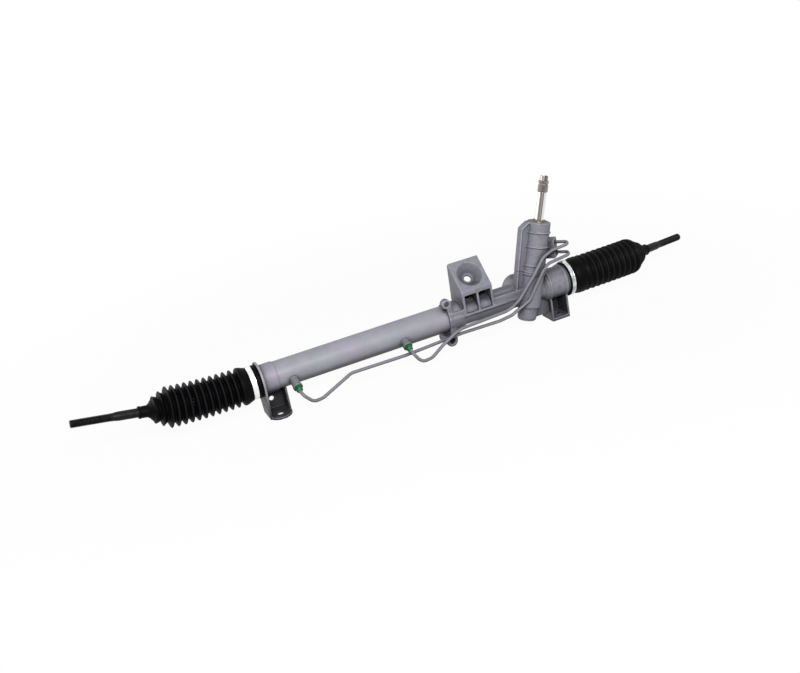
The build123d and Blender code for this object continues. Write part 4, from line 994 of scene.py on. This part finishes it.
def make_camera():
    """Camera at the photograph's place, from a fit of the object's outline."""
    right, up = Vector(CAMERA_RIGHT), Vector(CAMERA_UP)
    back = right.cross(up).normalized()
    up = back.cross(right).normalized()
    right = up.cross(back).normalized()
    data = bpy.data.cameras.new("camera")
    data.sensor_width, data.lens = CAMERA_SENSOR, CAMERA_LENS
    data.clip_start, data.clip_end = 0.05, 50.0
    camera = new_object("camera", data)
    turned = Matrix((right, up, back)).transposed().to_4x4()
    camera.matrix_world = Matrix.Translation(CAMERA_PLACE) @ turned
    bpy.context.scene.camera = camera


def seen_white(tree):
    """1 for rays that show the background: from the camera, off gloss or through glass."""
    rays = tree.add("ShaderNodeLightPath").outputs
    gloss = tree.maths("MAXIMUM", rays["Is Camera Ray"], rays["Is Glossy Ray"])
    return tree.maths("MAXIMUM", gloss, rays["Is Transmission Ray"])


def far_from_middle(tree):
    """Share of plain white in the floor: most of it under the object, all of it further out."""
    place = tree.add("ShaderNodeTexCoord").outputs["Object"]
    reach = tree.feed(tree.add("ShaderNodeVectorMath", operation="LENGTH"), i0=place).outputs["Value"]
    ramp = tree.feed(tree.add("ShaderNodeMapRange"), Value=reach, From_Min=SHADOW_NEAR, From_Max=SHADOW_FAR,
                     To_Min=WHITE_NEAR, To_Max=1.0)
    return ramp.outputs["Result"]


def make_floor():
    """White floor that keeps a soft shadow of the object."""
    mesh = bpy.data.meshes.new("floor")
    corners = [(-1, -1), (1, -1), (1, 1), (-1, 1)]
    mesh.from_pydata([(x * FLOOR_HALF, y * FLOOR_HALF, 0) for x, y in corners], [], [(0, 1, 2, 3)])
    floor = new_object("floor", mesh)
    floor.location = FLOOR_PLACE
    material = bpy.data.materials.new("floor")
    tree = Tree(material)
    tree.nodes.remove(tree.nodes["Principled BSDF"])
    seen = seen_white(tree)
    tone = tree.mix(seen, opaque([FLOOR_UNSEEN] * 3), opaque([FLOOR_SEEN] * 3))
    lit = tree.feed(tree.add("ShaderNodeBsdfDiffuse"), Color=tone)
    glow = tree.feed(tree.add("ShaderNodeEmission"), Strength=1.0)
    both = tree.feed(tree.add("ShaderNodeMixShader"), i0=tree.maths("MULTIPLY", seen, far_from_middle(tree)),
                     i1=lit.outputs[0], i2=glow.outputs[0])
    tree.feed(tree.nodes["Material Output"], Surface=both.outputs[0])
    mesh.materials.append(material)


def make_world():
    """White where it is seen, and a faint light from all round."""
    world = bpy.data.worlds.new("studio")
    bpy.context.scene.world = world
    tree = Tree(world)
    strength = tree.feed(tree.add("ShaderNodeMapRange"), Value=seen_white(tree), To_Min=WORLD_LIGHT,
                         To_Max=1.0)
    tree.feed(tree.nodes["Background"], Color=opaque((1, 1, 1)), Strength=strength.outputs["Result"])


def make_lamp(name, place, size, power):
    data = bpy.data.lights.new(name, "AREA")
    data.shape, data.size, data.size_y = "RECTANGLE", *size
    data.energy = power
    lamp = new_object(name, data)
    lamp.location = place
    lamp.rotation_euler = (Vector(LAMP_TARGET) - Vector(place)).to_track_quat("-Z", "Y").to_euler()


def make_studio():
    bpy.context.scene.view_settings.view_transform = "Standard"
    make_camera()
    make_floor()
    make_world()
    for name, place, size, power in LAMPS:
        make_lamp(name, place, size, power)


paint_nodes()
make_studio()
make_boot("left", LEFT_JOINT, cuff_end=TUBE_LEFT, seat=TUBE_RADIUS, profile=left_profile(),
          seams=(102.5, 125.8))
make_boot("right", RIGHT_JOINT, cuff_end=NECK_RIGHT, seat=NECK_RADIUS, profile=right_profile(),
          seams=(78.9, 116.7))
make_clamp("boot_clamp_left", middle=-607.5, seat=TUBE_RADIUS, width=9.0, painted_shade=0.0)
make_clamp("boot_clamp_right", middle=29.3, seat=NECK_RADIUS, width=7.5, painted_shade=1.0)
make_tie_rod("tie_rod_left", aim(*LEFT_JOINT), "left_rod")
make_tie_rod("tie_rod_right", aim(*RIGHT_JOINT), "right_rod")
make_input_shaft()
make_input_seal()
for casting in CASTINGS:
    cast(*casting)
